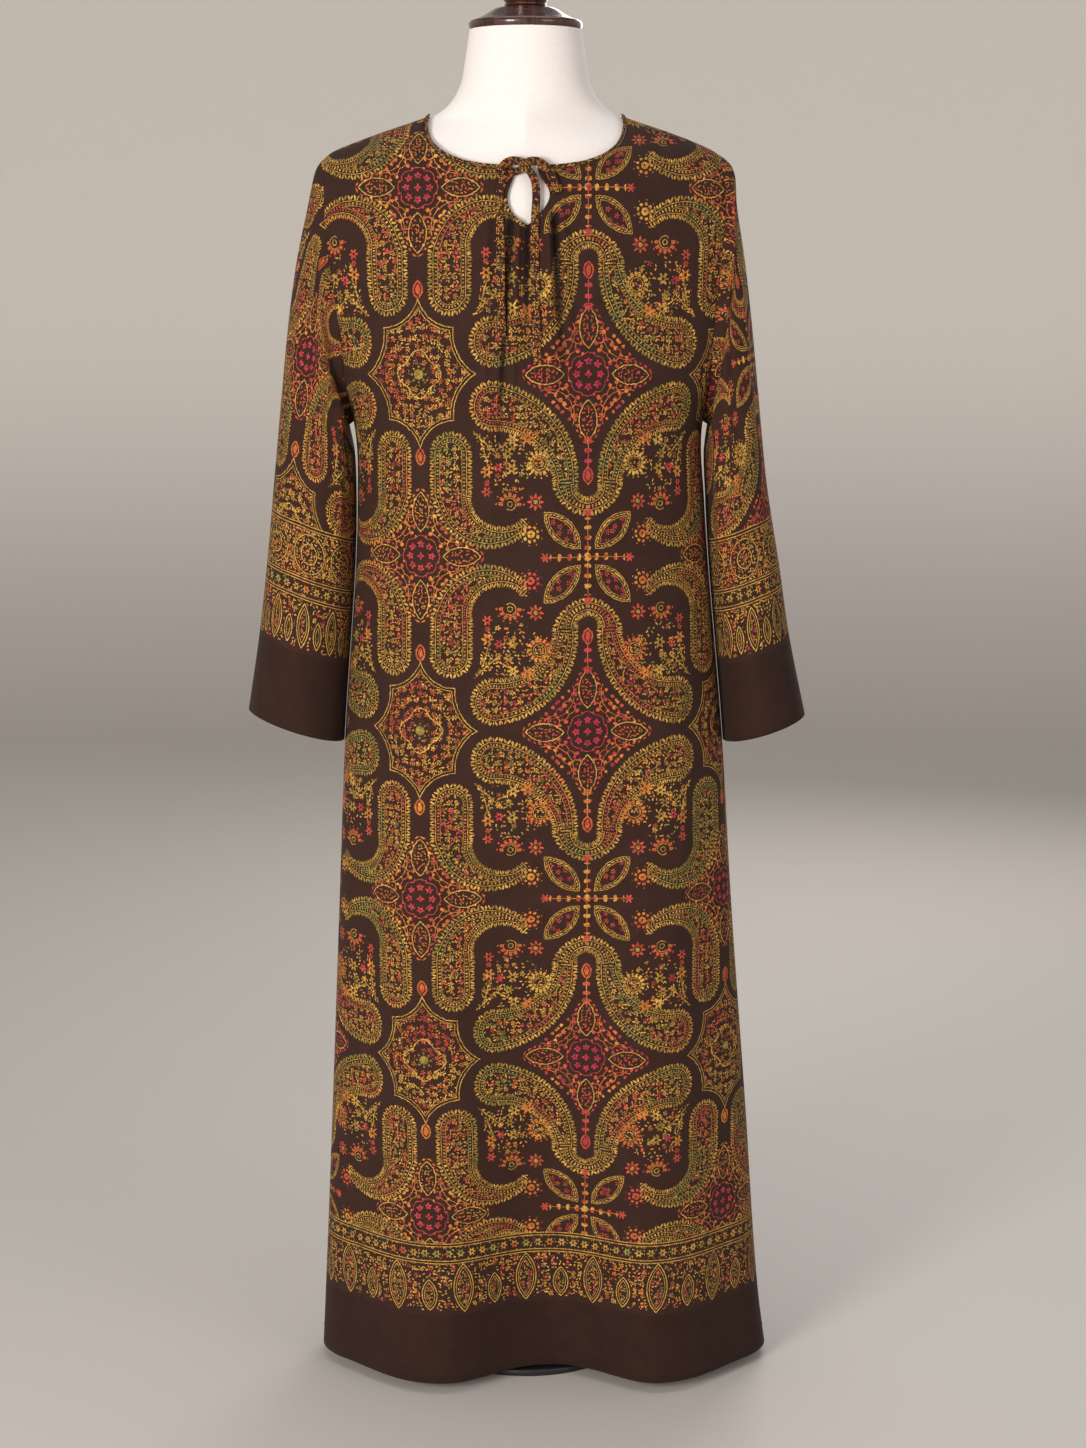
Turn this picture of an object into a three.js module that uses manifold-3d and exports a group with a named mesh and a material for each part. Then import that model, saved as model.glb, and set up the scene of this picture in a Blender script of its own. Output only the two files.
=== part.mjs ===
// A long-sleeved kaftan worn on a limbless dress form: front, back, two sleeves, a bound round neck
// with a keyhole, and the narrow tie that closes it in a small bow. The cloth is a thin wall all over.
// Millimetres, +Z up, the wearer's front towards -Y. The origin is on the floor, under the centre of
// the stand's base. The garment hangs a little ahead of the stand's pole.

import * as THREE from "three";
import Module from "manifold-3d";

// ---------------------------------------------------------------- driving dimensions

const CLOTH = 1.5; // wall of a panel or sleeve
const SEAM_GAP = 0.3; // left open between two pieces that are sewn together
const GARMENT_Y = -25; // the garment's mid-plane, ahead of the pole
const HEM_Z = 12; // the hem hangs this far above the floor
const UNDERARM_Z = 1050;
const TIP_Z = 1335; // shoulder tip, where the sleeve's head meets the shoulder seam
const NECK_Z = 1371.5; // where the shoulder seam ends at the neck binding

// Horizontal sections of the body, hem to neck: the side edges' x, how far the cloth stands ahead of
// and behind the mid-plane, and how square the section is. Between the underarm and the shoulder tip
// the sections run on under the sleeve's head, and above the tip the edges are the shoulder seams.
const BODY_SECTIONS = [
  { z: 12, left: -230.5, right: 269.7, front: 122, back: 142, square: 2.1 },
  { z: 70, left: -227.5, right: 262, front: 121, back: 140, square: 2.1 },
  { z: 292, left: -217, right: 245, front: 118, back: 133, square: 2.15 },
  { z: 521, left: -207, right: 227, front: 115, back: 125, square: 2.2 },
  { z: 700, left: -199, right: 215.5, front: 113, back: 122, square: 2.2 },
  { z: 964, left: -182.5, right: 193.4, front: 116, back: 112, square: 2.2 },
  { z: 1050, left: -186, right: 191, front: 119, back: 106, square: 2.2 },
  { z: 1100, left: -203, right: 207, front: 120.5, back: 103, square: 2.2 },
  { z: 1160, left: -219, right: 221, front: 117, back: 102, square: 2.2 },
  { z: 1220, left: -231, right: 231, front: 107, back: 101, square: 2.15 },
  { z: 1280, left: -234, right: 232, front: 90, back: 93, square: 2.05 },
  { z: 1310, left: -226, right: 222, front: 77.5, back: 84, square: 2 },
  { z: 1335, left: -206, right: 202, front: 62, back: 75, square: 2 },
  { z: 1345, left: -182, right: 181, front: 50, back: 71, square: 2 },
  { z: 1355, left: -155, right: 155, front: 42, back: 68.5, square: 2 },
  { z: 1364, left: -128, right: 128, front: 34, back: 67, square: 2 },
  { z: 1371.5, left: -105.5, right: 105.5, front: 27, back: 66, square: 2 },
];

// The largest folds of the skirt, by their place round the body (0 is the left side seam, 90 the
// centre front, 180 the right side seam, 270 the centre back). A fold reaches so many degrees to each
// side, stands out by its depth at the hem (a trough is negative), and has faded away at its top.
const SKIRT_FOLDS = [
  { angle: 92, reach: 27, depth: -44, top: 780 },
  { angle: 59, reach: 30, depth: 27, top: 1000 },
  { angle: 122, reach: 30, depth: 27, top: 1000 },
  { angle: 222, reach: 20, depth: -13, top: 820 },
  { angle: 244, reach: 24, depth: 15, top: 950 },
  { angle: 268, reach: 22, depth: -18, top: 860 },
  { angle: 293, reach: 25, depth: 16, top: 960 },
  { angle: 318, reach: 19, depth: -12, top: 760 },
];
const FOLD_FADE = 1.4; // how quickly a fold deepens towards the hem

// How far round from the side the armhole's seam lies, in degrees, on the front and on the back.
const ARMHOLE = [
  { z: 1050, front: 0, back: 0 },
  { z: 1064, front: 9, back: 8 },
  { z: 1090, front: 17, back: 14 },
  { z: 1130, front: 24, back: 19.5 },
  { z: 1180, front: 27, back: 22 },
  { z: 1230, front: 27, back: 22 },
  { z: 1270, front: 25.5, back: 21 },
  { z: 1300, front: 22, back: 19 },
  { z: 1320, front: 15, back: 14 },
  { z: 1335, front: 0, back: 0 },
];

// The neck's edge: half its width, its depth below the shoulder seam's end, and how square it is.
const NECK = { half: 107, frontDepth: 57.5, backDepth: 11, square: 2.6 };

// The keyhole's outline, from the neck down to its point.
const KEYHOLE = [
  { z: 1325, left: -9, right: 10 },
  { z: 1308, left: -11.5, right: 15 },
  { z: 1289, left: -18, right: 25.5 },
  { z: 1277, left: -17.5, right: 22 },
  { z: 1263, left: -8, right: 10 },
];
const KEYHOLE_POINT = { x: 2.5, z: 1256 };

// A sleeve from its head to the cuff: the outer edge's x and z, the height of the inner edge, and half
// its depth from front to back. The inner edge hangs clear of the body's side by its last column.
const SLEEVE_LEFT = [
  { outerX: -206, outerZ: 1335, innerZ: 1050, depth: 58, clear: 0 },
  { outerX: -222, outerZ: 1316, innerZ: 1046.5, depth: 58, clear: 4.5 },
  { outerX: -233.5, outerZ: 1279, innerZ: 1039, depth: 59, clear: 7 },
  { outerX: -243, outerZ: 1234, innerZ: 1024, depth: 60, clear: 7.5 },
  { outerX: -254, outerZ: 1162, innerZ: 1000, depth: 60, clear: 7.5 },
  { outerX: -263, outerZ: 1080, innerZ: 964, depth: 59, clear: 7 },
  { outerX: -272.5, outerZ: 985, innerZ: 906, depth: 59, clear: 5.5 },
  { outerX: -281.5, outerZ: 896, innerZ: 838, depth: 60, clear: 4 },
  { outerX: -291, outerZ: 818, innerZ: 772, depth: 62, clear: 3.2 },
  { outerX: -303.4, outerZ: 738, innerZ: 703, depth: 66, clear: 3 },
];
const SLEEVE_RIGHT = [
  { outerX: 202, outerZ: 1335, innerZ: 1050, depth: 58, clear: 0 },
  { outerX: 222.4, outerZ: 1318, innerZ: 1046.5, depth: 58, clear: 4.5 },
  { outerX: 226.5, outerZ: 1279, innerZ: 1039, depth: 59, clear: 6 },
  { outerX: 233, outerZ: 1234, innerZ: 1024, depth: 60, clear: 6.5 },
  { outerX: 242, outerZ: 1162, innerZ: 1000, depth: 60, clear: 6 },
  { outerX: 250.5, outerZ: 1080, innerZ: 964, depth: 59, clear: 5 },
  { outerX: 260.5, outerZ: 985, innerZ: 906, depth: 59, clear: 4 },
  { outerX: 275, outerZ: 896, innerZ: 838, depth: 60, clear: 3.5 },
  { outerX: 287, outerZ: 818, innerZ: 772, depth: 62, clear: 3 },
  { outerX: 305, outerZ: 732, innerZ: 703, depth: 66, clear: 2.6 },
];
const SLEEVE_FORWARD = 6; // a cuff hangs this far ahead of the mid-plane
const SLEEVE_HEAD = 0.38; // the armhole's own outline has turned into an oval after this share

// The binding lies proud of the panels, stands more upright than they slope, keeps a margin from the
// keyhole's edges, and is eased over so many neighbouring places on each side.
const BINDING = { width: 5, thickness: 2.2, proud: 0.4, upright: 0.9, margin: 1, eased: 2 };
const TIE = { width: 8.5, thickness: 1.4 };
const KNOT = { x: -0.6, z: 1315.5, width: 12.8, height: 14.5, depth: 9, lift: 4.6 };

// The tie's loops and tails, from the knot out: the middle's x and z, and how far its underside lies
// in front of the panel.
const TAIL_LEFT = [
  { x: -8, z: 1311, lift: 1.4 },
  { x: -18, z: 1307, lift: 1 },
  { x: -24.5, z: 1297, lift: 0.9 },
  { x: -26.5, z: 1282, lift: 0.9 },
  { x: -26, z: 1255, lift: 0.9 },
  { x: -25.5, z: 1225, lift: 0.8 },
  { x: -25, z: 1185, lift: 0.8 },
  { x: -24, z: 1142, lift: 0.8 },
];
const TAIL_RIGHT = [
  { x: 6, z: 1308, lift: 3 },
  { x: 10, z: 1300, lift: 2.4 },
  { x: 11.5, z: 1286, lift: 1.8 },
  { x: 10.5, z: 1266, lift: 1.2 },
  { x: 9.8, z: 1240, lift: 0.9 },
  { x: 10.2, z: 1205, lift: 0.8 },
  { x: 11.5, z: 1160, lift: 0.8 },
  { x: 12.5, z: 1116, lift: 0.8 },
];
const LOOP_LEFT = [
  { x: -7.8, z: 1318.5, lift: 8.4 },
  { x: -15, z: 1319, lift: 7.8 },
  { x: -21.5, z: 1315.5, lift: 7.2 },
  { x: -25, z: 1309, lift: 6.8 },
];
const LOOP_RIGHT = [
  { x: 6.4, z: 1319.5, lift: 6.4 },
  { x: 14, z: 1319, lift: 6 },
  { x: 22, z: 1313.5, lift: 5.4 },
  { x: 27.5, z: 1305, lift: 4.8 },
  { x: 31.5, z: 1292, lift: 4.4 },
];
const LOOP_LEAF = 2.2; // opening between the two leaves of a loop
const LOOP_TURN = 0.35; // a loop turns back this share of its last step beyond its last place

// The dress form inside, from its bottom board to its neck, about x = 0. Along the shoulder seams and
// the front of the neck it lies just under the cloth, which rests on it there.
const TORSO_SECTIONS = [
  { z: 700, half: 158, front: 90, back: 104, square: 2.3 },
  { z: 800, half: 170, front: 96, back: 114, square: 2.3 },
  { z: 900, half: 150, front: 88, back: 96, square: 2.2 },
  { z: 980, half: 130, front: 82, back: 82, square: 2.1 },
  { z: 1060, half: 144, front: 100, back: 88, square: 2.1 },
  { z: 1120, half: 162, front: 115, back: 94, square: 2.1 },
  { z: 1200, half: 178, front: 105, back: 97, square: 2.1 },
  { z: 1262, half: 192, front: 91, back: 92, square: 2 },
  { z: 1300, half: 200, front: 78, back: 84, square: 1.8 },
  { z: 1318, half: 202, front: 70.6, back: 77, square: 1.55 },
  { z: 1332.6, half: 199, front: 66, back: 71, square: 1.4 },
  { z: 1342.6, half: 180.5, front: 64, back: 67, square: 1.3 },
  { z: 1352.6, half: 155, front: 63, back: 65, square: 1.2 },
  { z: 1361.6, half: 128, front: 62.5, back: 63.5, square: 1.15 },
  { z: 1369.1, half: 105.5, front: 62.5, back: 63, square: 1.2 },
  { z: 1376, half: 92, front: 62.5, back: 63, square: 1.4 },
  { z: 1386, half: 80.5, front: 62.5, back: 63, square: 1.7 },
  { z: 1403, half: 70, front: 62.5, back: 63, square: 2 },
  { z: 1431, half: 64.2, front: 61, back: 61.5, square: 2 },
  { z: 1462, half: 59.5, front: 59.5, back: 59.5, square: 2 },
];
const BOARD = { thickness: 9, inset: 3 };

const CAP_Z = 1462;
// The cap's turned profile above the neck, and the knob's above the cap.
const CAP_PROFILE = [
  { r: 56, z: 0 },
  { r: 59.5, z: 1 },
  { r: 60.4, z: 4 },
  { r: 60.4, z: 6.5 },
  { r: 58.5, z: 8.6 },
  { r: 52, z: 11 },
  { r: 44, z: 14.6 },
  { r: 36.5, z: 19.4 },
  { r: 29, z: 22.4 },
  { r: 20, z: 23.6 },
];
const KNOB_PROFILE = [
  { r: 21, z: 0 },
  { r: 22.4, z: 1.4 },
  { r: 21.2, z: 3 },
  { r: 23.2, z: 6 },
  { r: 23.8, z: 9 },
  { r: 21.8, z: 11 },
  { r: 25.5, z: 16 },
  { r: 27.6, z: 23 },
  { r: 26.6, z: 30 },
  { r: 22.4, z: 37 },
  { r: 15, z: 42 },
  { r: 7, z: 44.4 },
];

const POLE = { radius: 12.5, foot: 6 };
const BASE = { radius: 110, thickness: 8, edge: 2.5, socket: 21, socketTop: 34, fit: 0.3 };

// How finely the cloth is divided: columns across a panel, and rows up to the underarm, along the
// armhole and along the shoulder seam.
const GRID = { front: 28, back: 20, skirt: 10, armhole: 8, shoulder: 4 };
const STEPS = { tail: 18, loopLeft: 14, loopRight: 20, keyholeSide: 14 }; // along the tie and the slit
const SIDES = { torso: 28, turned: 30, pole: 24, knot: 14, knotRings: 9 }; // round the other pieces

// ---------------------------------------------------------------- small tools

const rad = THREE.MathUtils.degToRad;
const signedPower = (value, power) => Math.sign(value) * Math.abs(value) ** power;

// A smooth curve through a table's rows: a function that gives all its other columns at a key's value.
function smoothTable(rows, key) {
  const columns = Object.keys(rows[0]).filter((name) => name !== key);
  const positions = rows.map((row) => row[key]);
  const values = rows.flatMap((row) => columns.map((name) => row[name]));
  const curve = new THREE.CubicInterpolant(positions, values, columns.length);
  return (at) => {
    const result = curve.evaluate(at);
    return Object.fromEntries(columns.map((name, i) => [name, result[i]]));
  };
}

// A closed mesh from points and triangles, turned so that its faces point out.
function closedGeometry(points, triangles) {
  let volume = 0;
  for (const [a, b, c] of triangles) {
    volume += points[a].dot(points[b].clone().cross(points[c]));
  }
  const index = triangles.flatMap(([a, b, c]) => (volume > 0 ? [a, b, c] : [a, c, b]));
  const geometry = new THREE.BufferGeometry().setFromPoints(points);
  geometry.setIndex(index);
  return geometry;
}

const quad = (a, b, c, d) => [[a, b, c], [a, c, d]];

// A wall of cloth: a grid of points on its outer face, and the same moved in along their normals.
// A closed grid, as a sleeve's, joins its last column to its first.
function wall(grid, normals, thickness, closed = false) {
  const rows = grid.length;
  const columns = grid[0].length;
  const inner = grid.map((row, j) =>
    row.map((point, i) => point.clone().addScaledVector(normals[j][i], -thickness)));
  const points = [...grid.flat(), ...inner.flat()];
  const outerAt = (j, i) => j * columns + (i % columns);
  const innerAt = (j, i) => rows * columns + outerAt(j, i);
  const triangles = [];
  const steps = closed ? columns : columns - 1;
  for (let i = 0; i < steps; i += 1) {
    for (let j = 0; j < rows - 1; j += 1) {
      triangles.push(...quad(outerAt(j, i), outerAt(j, i + 1), outerAt(j + 1, i + 1), outerAt(j + 1, i)));
      triangles.push(...quad(innerAt(j, i), innerAt(j + 1, i), innerAt(j + 1, i + 1), innerAt(j, i + 1)));
    }
    const top = rows - 1;
    triangles.push(...quad(outerAt(0, i + 1), outerAt(0, i), innerAt(0, i), innerAt(0, i + 1)));
    triangles.push(...quad(outerAt(top, i), outerAt(top, i + 1), innerAt(top, i + 1), innerAt(top, i)));
  }
  if (!closed) {
    const last = columns - 1;
    for (let j = 0; j < rows - 1; j += 1) {
      triangles.push(...quad(outerAt(j, 0), outerAt(j + 1, 0), innerAt(j + 1, 0), innerAt(j, 0)));
      triangles.push(...quad(outerAt(j + 1, last), outerAt(j, last), innerAt(j, last), innerAt(j + 1, last)));
    }
  }
  return closedGeometry(points, triangles);
}

// A solid through rings of points, closed at both ends by a fan.
function loft(rings) {
  const sides = rings[0].length;
  const points = rings.flat();
  const at = (j, i) => j * sides + (i % sides);
  const triangles = [];
  for (let j = 0; j < rings.length - 1; j += 1) {
    for (let i = 0; i < sides; i += 1) {
      triangles.push(...quad(at(j, i), at(j, i + 1), at(j + 1, i + 1), at(j + 1, i)));
    }
  }
  for (const [j, flip] of [[0, true], [rings.length - 1, false]]) {
    const centre = points.length;
    points.push(rings[j].reduce((sum, p) => sum.add(p), new THREE.Vector3()).divideScalar(sides));
    for (let i = 0; i < sides; i += 1) {
      triangles.push(flip ? [at(j, i + 1), at(j, i), centre] : [at(j, i), at(j, i + 1), centre]);
    }
  }
  return closedGeometry(points, triangles);
}

// Unit normals of a grid of points, from its neighbours along both directions.
function gridNormals(grid, closed, sense) {
  const last = grid[0].length - 1;
  return grid.map((row, j) => row.map((_, i) => {
    const left = closed ? (i + last) % (last + 1) : Math.max(i - 1, 0);
    const right = closed ? (i + 1) % (last + 1) : Math.min(i + 1, last);
    const across = row[right].clone().sub(row[left]);
    const below = grid[Math.max(j - 1, 0)][i];
    const above = grid[Math.min(j + 1, grid.length - 1)][i];
    return across.cross(above.clone().sub(below)).normalize().multiplyScalar(sense);
  }));
}

// ---------------------------------------------------------------- the body's surface

const bodySection = smoothTable(BODY_SECTIONS, "z");

// How far the skirt's folds push the cloth out at an angle (in degrees) and a height.
function foldDepth(degrees, z) {
  let sum = 0;
  for (const { angle, reach, depth, top } of SKIRT_FOLDS) {
    const off = (degrees - angle) / reach;
    if (Math.abs(off) < 1 && z < top) {
      const bell = Math.cos((off * Math.PI) / 2) ** 2;
      sum += depth * bell * ((top - z) / (top - HEM_Z)) ** FOLD_FADE;
    }
  }
  return sum;
}

// A point of the body's cloth: angle 0 is the left side, 90 degrees the centre front, -90 the back.
function bodyPoint(angle, z) {
  const { left, right, front, back, square } = bodySection(z);
  const middle = (left + right) / 2;
  const half = (right - left) / 2;
  const facing = Math.sin(angle) >= 0 ? 1 : -1;
  const round = signedPower(Math.sin(angle), 2 / square) * (facing > 0 ? front : back);
  const degrees = THREE.MathUtils.euclideanModulo(THREE.MathUtils.radToDeg(angle), 360);
  const fold = facing * foldDepth(degrees, z);
  const x = middle - half * signedPower(Math.cos(angle), 2 / square);
  return new THREE.Vector3(x, GARMENT_Y - round - fold, z);
}

const PROBE = 0.02; // step, in radians and in tenths of a millimetre, that a normal is measured over

function bodyNormal(angle, z) {
  const rise = PROBE * 10;
  const across = bodyPoint(angle + PROBE, z).sub(bodyPoint(angle - PROBE, z));
  const up = bodyPoint(angle, z + rise).sub(bodyPoint(angle, z - rise));
  return across.cross(up).normalize();
}

const armholeAt = smoothTable(ARMHOLE, "z");
const armholeInset = (z, face) => rad(armholeAt(z)[face]);

// Heights of the rows where they meet a panel's edge: evenly up the side, closer together at both ends
// of the armhole, then evenly along the shoulder seam.
const evenly = (from, to, count) =>
  Array.from({ length: count }, (_, i) => from + ((to - from) * i) / count);
const EDGE_ROWS = [
  ...evenly(HEM_Z, UNDERARM_Z, GRID.skirt),
  ...evenly(0, 1, GRID.armhole).map(
    (share) => UNDERARM_Z + ((TIP_Z - UNDERARM_Z) * (1 - Math.cos(Math.PI * share))) / 2),
  ...evenly(TIP_Z, NECK_Z, GRID.shoulder),
  NECK_Z,
];
const UNDERARM_ROW = GRID.skirt;
const TIP_ROW = GRID.skirt + GRID.armhole;

// Where the neck's edge lies: its angle round the body and its height, from the left (0) to the right (1).
function neckEdge(share, depth) {
  const turn = Math.PI * share - Math.sin(2 * Math.PI * share) / 4;
  const x = -NECK.half * signedPower(Math.cos(turn), 2 / NECK.square);
  const z = NECK_Z - depth * Math.abs(Math.sin(turn)) ** (2 / NECK.square);
  const { left, right, square } = bodySection(z);
  const reach = (x - (left + right) / 2) / ((right - left) / 2);
  const cosine = -signedPower(THREE.MathUtils.clamp(reach, -1, 1), square / 2);
  return { angle: Math.acos(cosine), z };
}

// The angles and heights of a panel's grid. face is "front" or "back".
function panelPlaces(columns, face, neckDepth) {
  const side = face === "front" ? 1 : -1;
  return EDGE_ROWS.map((edgeZ) => {
    const rise = Math.max(0, (edgeZ - UNDERARM_Z) / (NECK_Z - UNDERARM_Z));
    const nearNeck = Math.max(0, (edgeZ - TIP_Z) / (NECK_Z - TIP_Z));
    const edge = armholeInset(edgeZ, face);
    return Array.from({ length: columns + 1 }, (_, i) => {
      const share = i / columns;
      const neck = neckEdge(share, neckDepth);
      const level = edge + (Math.PI - 2 * edge) * share;
      const angle = level + (neck.angle - Math.PI * share) * nearNeck;
      const sag = -neckDepth * Math.sin(Math.PI * share) ** 2;
      const drop = THREE.MathUtils.lerp(sag, neck.z - NECK_Z, nearNeck);
      return { angle: side * angle, z: edgeZ + drop * rise };
    });
  });
}

// ---------------------------------------------------------------- sleeves

// The armhole's outline from the underarm over the front to the shoulder tip and down the back.
function armholeRing(isLeft) {
  const place = (angle) => (isLeft ? angle : Math.PI - angle);
  const heights = EDGE_ROWS.slice(UNDERARM_ROW, TIP_ROW + 1);
  const up = heights.map((z) => ({ angle: place(armholeInset(z, "front")), z }));
  const down = heights.slice(1, -1).reverse().map(
    (z) => ({ angle: place(-armholeInset(z, "back")), z }));
  return [...up, ...down];
}

function sleeveRings(rows, isLeft) {
  const outline = armholeRing(isLeft).map(({ angle, z }) => bodyPoint(angle, z));
  return rows.map((row, j) => {
    const share = j / (rows.length - 1);
    const section = bodySection(row.innerZ);
    const innerX = isLeft ? section.left - row.clear : section.right + row.clear;
    const middleX = (row.outerX + innerX) / 2;
    const middleZ = (row.outerZ + row.innerZ) / 2;
    const settled = THREE.MathUtils.smoothstep(share, 0, SLEEVE_HEAD);
    return outline.map((start, k) => {
      const turn = (2 * Math.PI * k) / outline.length;
      const oval = new THREE.Vector3(
        middleX + ((innerX - row.outerX) / 2) * Math.cos(turn),
        GARMENT_Y - SLEEVE_FORWARD * share - row.depth * Math.sin(turn),
        middleZ + ((row.innerZ - row.outerZ) / 2) * Math.cos(turn));
      const first = rows[0];
      const armhole = start.clone();
      armhole.x += middleX - (first.outerX + (isLeft ? -1 : 1) * Math.abs(outline[0].x)) / 2;
      armhole.z += middleZ - (first.outerZ + first.innerZ) / 2;
      return j === 0 ? start.clone() : armhole.lerp(oval, settled);
    });
  });
}

// A sleeve's grid with its normals. At the armhole the normal halves the angle to the body's cloth.
function sleeve(rows, isLeft) {
  const rings = sleeveRings(rows, isLeft);
  const normals = gridNormals(rings, true, isLeft ? 1 : -1);
  const body = armholeRing(isLeft).map(({ angle, z }) => bodyNormal(angle, z));
  normals[0] = normals[0].map((normal, k) => normal.clone().add(body[k]).normalize());
  rings[0] = rings[0].map((point, k) => stepTowards(point, rings[1][k], SEAM_GAP / 2));
  return { rings, normals };
}

// A point moved a short way towards another.
function stepTowards(point, target, distance) {
  return point.clone().addScaledVector(target.clone().sub(point).normalize(), distance);
}

const sleeveLeft = sleeve(SLEEVE_LEFT, true);
const sleeveRight = sleeve(SLEEVE_RIGHT, false);

// ---------------------------------------------------------------- front and back panels

// The normal that a panel shares with the sleeve, at a row of its left or right edge.
function seamNormal(j, face, { normals }) {
  const step = j - UNDERARM_ROW;
  const ring = normals[0];
  return ring[(face === "front" ? step : ring.length - step) % ring.length];
}

function panel(columns, face, neckDepth) {
  const places = panelPlaces(columns, face, neckDepth);
  const grid = places.map((row) => row.map(({ angle, z }) => bodyPoint(angle, z)));
  const normals = places.map((row) => row.map(({ angle, z }) => bodyNormal(angle, z)));
  for (let j = UNDERARM_ROW; j <= TIP_ROW; j += 1) {
    normals[j][0] = seamNormal(j, face, sleeveLeft);
    normals[j][columns] = seamNormal(j, face, sleeveRight);
  }
  const neckRow = grid.length - 1;
  const edge = grid[neckRow].map((point) => point.clone());
  const below = grid[neckRow - 1].map((point) => point.clone());
  for (const row of grid) {
    const [leftEdge, rightEdge] = [row[0], row[columns]];
    row[0] = stepTowards(leftEdge, row[1], SEAM_GAP / 2);
    row[columns] = stepTowards(rightEdge, row[columns - 1], SEAM_GAP / 2);
  }
  for (let i = 0; i <= columns; i += 1) {
    grid[neckRow][i] = stepTowards(grid[neckRow][i], below[i], SEAM_GAP);
  }
  return { grid, normals, edge, below, edgeNormals: normals[neckRow] };
}

const front = panel(GRID.front, "front", NECK.frontDepth);
const back = panel(GRID.back, "back", NECK.backDepth);

const FINE_ANGLE = 1e-9; // radians, how closely frontPlace finds its angle

// The angle of the front's surface point over an x and a z, found by halving the range it lies in.
function frontPlace(x, z) {
  let [low, high] = [0, Math.PI];
  while (high - low > FINE_ANGLE) {
    const middle = (low + high) / 2;
    if (bodyPoint(middle, z).x < x) low = middle;
    else high = middle;
  }
  return low;
}

// ---------------------------------------------------------------- keyhole

const wasm = await Module();
wasm.setup();

function toManifold(geometry) {
  const mesh = new wasm.Mesh({
    numProp: 3,
    vertProperties: new Float32Array(geometry.getAttribute("position").array),
    triVerts: new Uint32Array(geometry.getIndex().array),
  });
  return new wasm.Manifold(mesh);
}

function fromManifold(solid) {
  const mesh = solid.getMesh();
  const geometry = new THREE.BufferGeometry();
  geometry.setAttribute("position", new THREE.BufferAttribute(mesh.vertProperties, 3));
  geometry.setIndex(new THREE.BufferAttribute(mesh.triVerts, 1));
  return geometry;
}

const CUTTER = { far: 160, near: 40 }; // its two faces' distances ahead of the mid-plane

// A block through the front, with the keyhole's outline.
function keyholeCutter() {
  const down = KEYHOLE.map(({ left, z }) => new THREE.Vector2(left, z));
  const up = KEYHOLE.map(({ right, z }) => new THREE.Vector2(right, z)).reverse();
  const point = new THREE.Vector2(KEYHOLE_POINT.x, KEYHOLE_POINT.z);
  const outline = [
    ...new THREE.SplineCurve([...down, point]).getPoints(STEPS.keyholeSide),
    ...new THREE.SplineCurve([point, ...up]).getPoints(STEPS.keyholeSide).slice(1),
  ];
  const ring = (y) => outline.map((p) => new THREE.Vector3(p.x, y, p.y));
  const faces = THREE.ShapeUtils.triangulateShape(outline, []);
  const count = outline.length;
  const points = [...ring(GARMENT_Y - CUTTER.far), ...ring(GARMENT_Y - CUTTER.near)];
  const triangles = [];
  for (const [a, b, c] of faces) {
    triangles.push([a, b, c], [a + count, c + count, b + count]);
  }
  for (let i = 0; i < count; i += 1) {
    const next = (i + 1) % count;
    triangles.push(...quad(next, i, i + count, next + count));
  }
  return closedGeometry(points, triangles);
}

const frontWall = wall(front.grid, front.normals, CLOTH);
const frontCut = toManifold(frontWall).subtract(toManifold(keyholeCutter()));

// ---------------------------------------------------------------- neck binding and tie

// The binding stands on the neck's edge, all round from one side of the keyhole to the other.
function bindingWall() {
  const across = (panelPart, i) => {
    const base = panelPart.edge[i];
    const up = base.clone().sub(panelPart.below[i]).normalize();
    up.z += BINDING.upright;
    return { base, up: up.normalize(), normal: panelPart.edgeNormals[i] };
  };
  const fromFront = front.edge.map((_, i) => across(front, i));
  const fromBack = back.edge.map((_, i) => across(back, i));
  const keyhole = KEYHOLE[0];
  const rightPart = fromFront.filter(({ base }) => base.x > keyhole.right + BINDING.margin);
  const leftPart = fromFront.filter(({ base }) => base.x < keyhole.left - BINDING.margin);
  const round = [...rightPart, ...fromBack.slice(1, -1).reverse(), ...leftPart];
  const nearby = (i) => round.slice(Math.max(i - BINDING.eased, 0), i + BINDING.eased + 1);
  const eased = round.map(({ base }, i) => {
    const sum = (key) => nearby(i).reduce((v, place) => v.add(place[key]), new THREE.Vector3());
    const up = sum("up").normalize();
    const along = sum("normal").cross(up);
    return { base, up, normal: up.clone().cross(along).normalize() };
  });
  const levels = [0, 0.5, 1];
  const grid = levels.map((level) => eased.map(({ base, up, normal }) => base.clone()
    .addScaledVector(up, level * BINDING.width)
    .addScaledVector(normal, BINDING.proud)));
  const normals = levels.map(() => eased.map(({ normal }) => normal));
  return wall(grid, normals, BINDING.thickness);
}

// A flat strip of the tie whose middle follows places on the front panel, at their lifts.
function tieStrip(places, steps) {
  const middle = places.map(({ x, z, lift }) => {
    const angle = frontPlace(x, z);
    const normal = bodyNormal(angle, z);
    return bodyPoint(angle, z).addScaledVector(normal, lift + TIE.thickness);
  });
  const curve = new THREE.CatmullRomCurve3(middle, false, "centripetal");
  const rows = Array.from({ length: steps + 1 }, (_, k) => {
    const point = curve.getPointAt(k / steps);
    const along = curve.getTangentAt(k / steps);
    const normal = bodyNormal(frontPlace(point.x, point.z), point.z);
    const across = along.clone().cross(normal).normalize();
    return { point, across, normal: across.clone().cross(along).normalize() };
  });
  const grid = rows.map(({ point, across }) => [-0.5, 0.5].map(
    (share) => point.clone().addScaledVector(across, share * TIE.width)));
  const normals = rows.map(({ normal }) => [normal, normal]);
  return wall(grid, normals, TIE.thickness);
}

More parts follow.
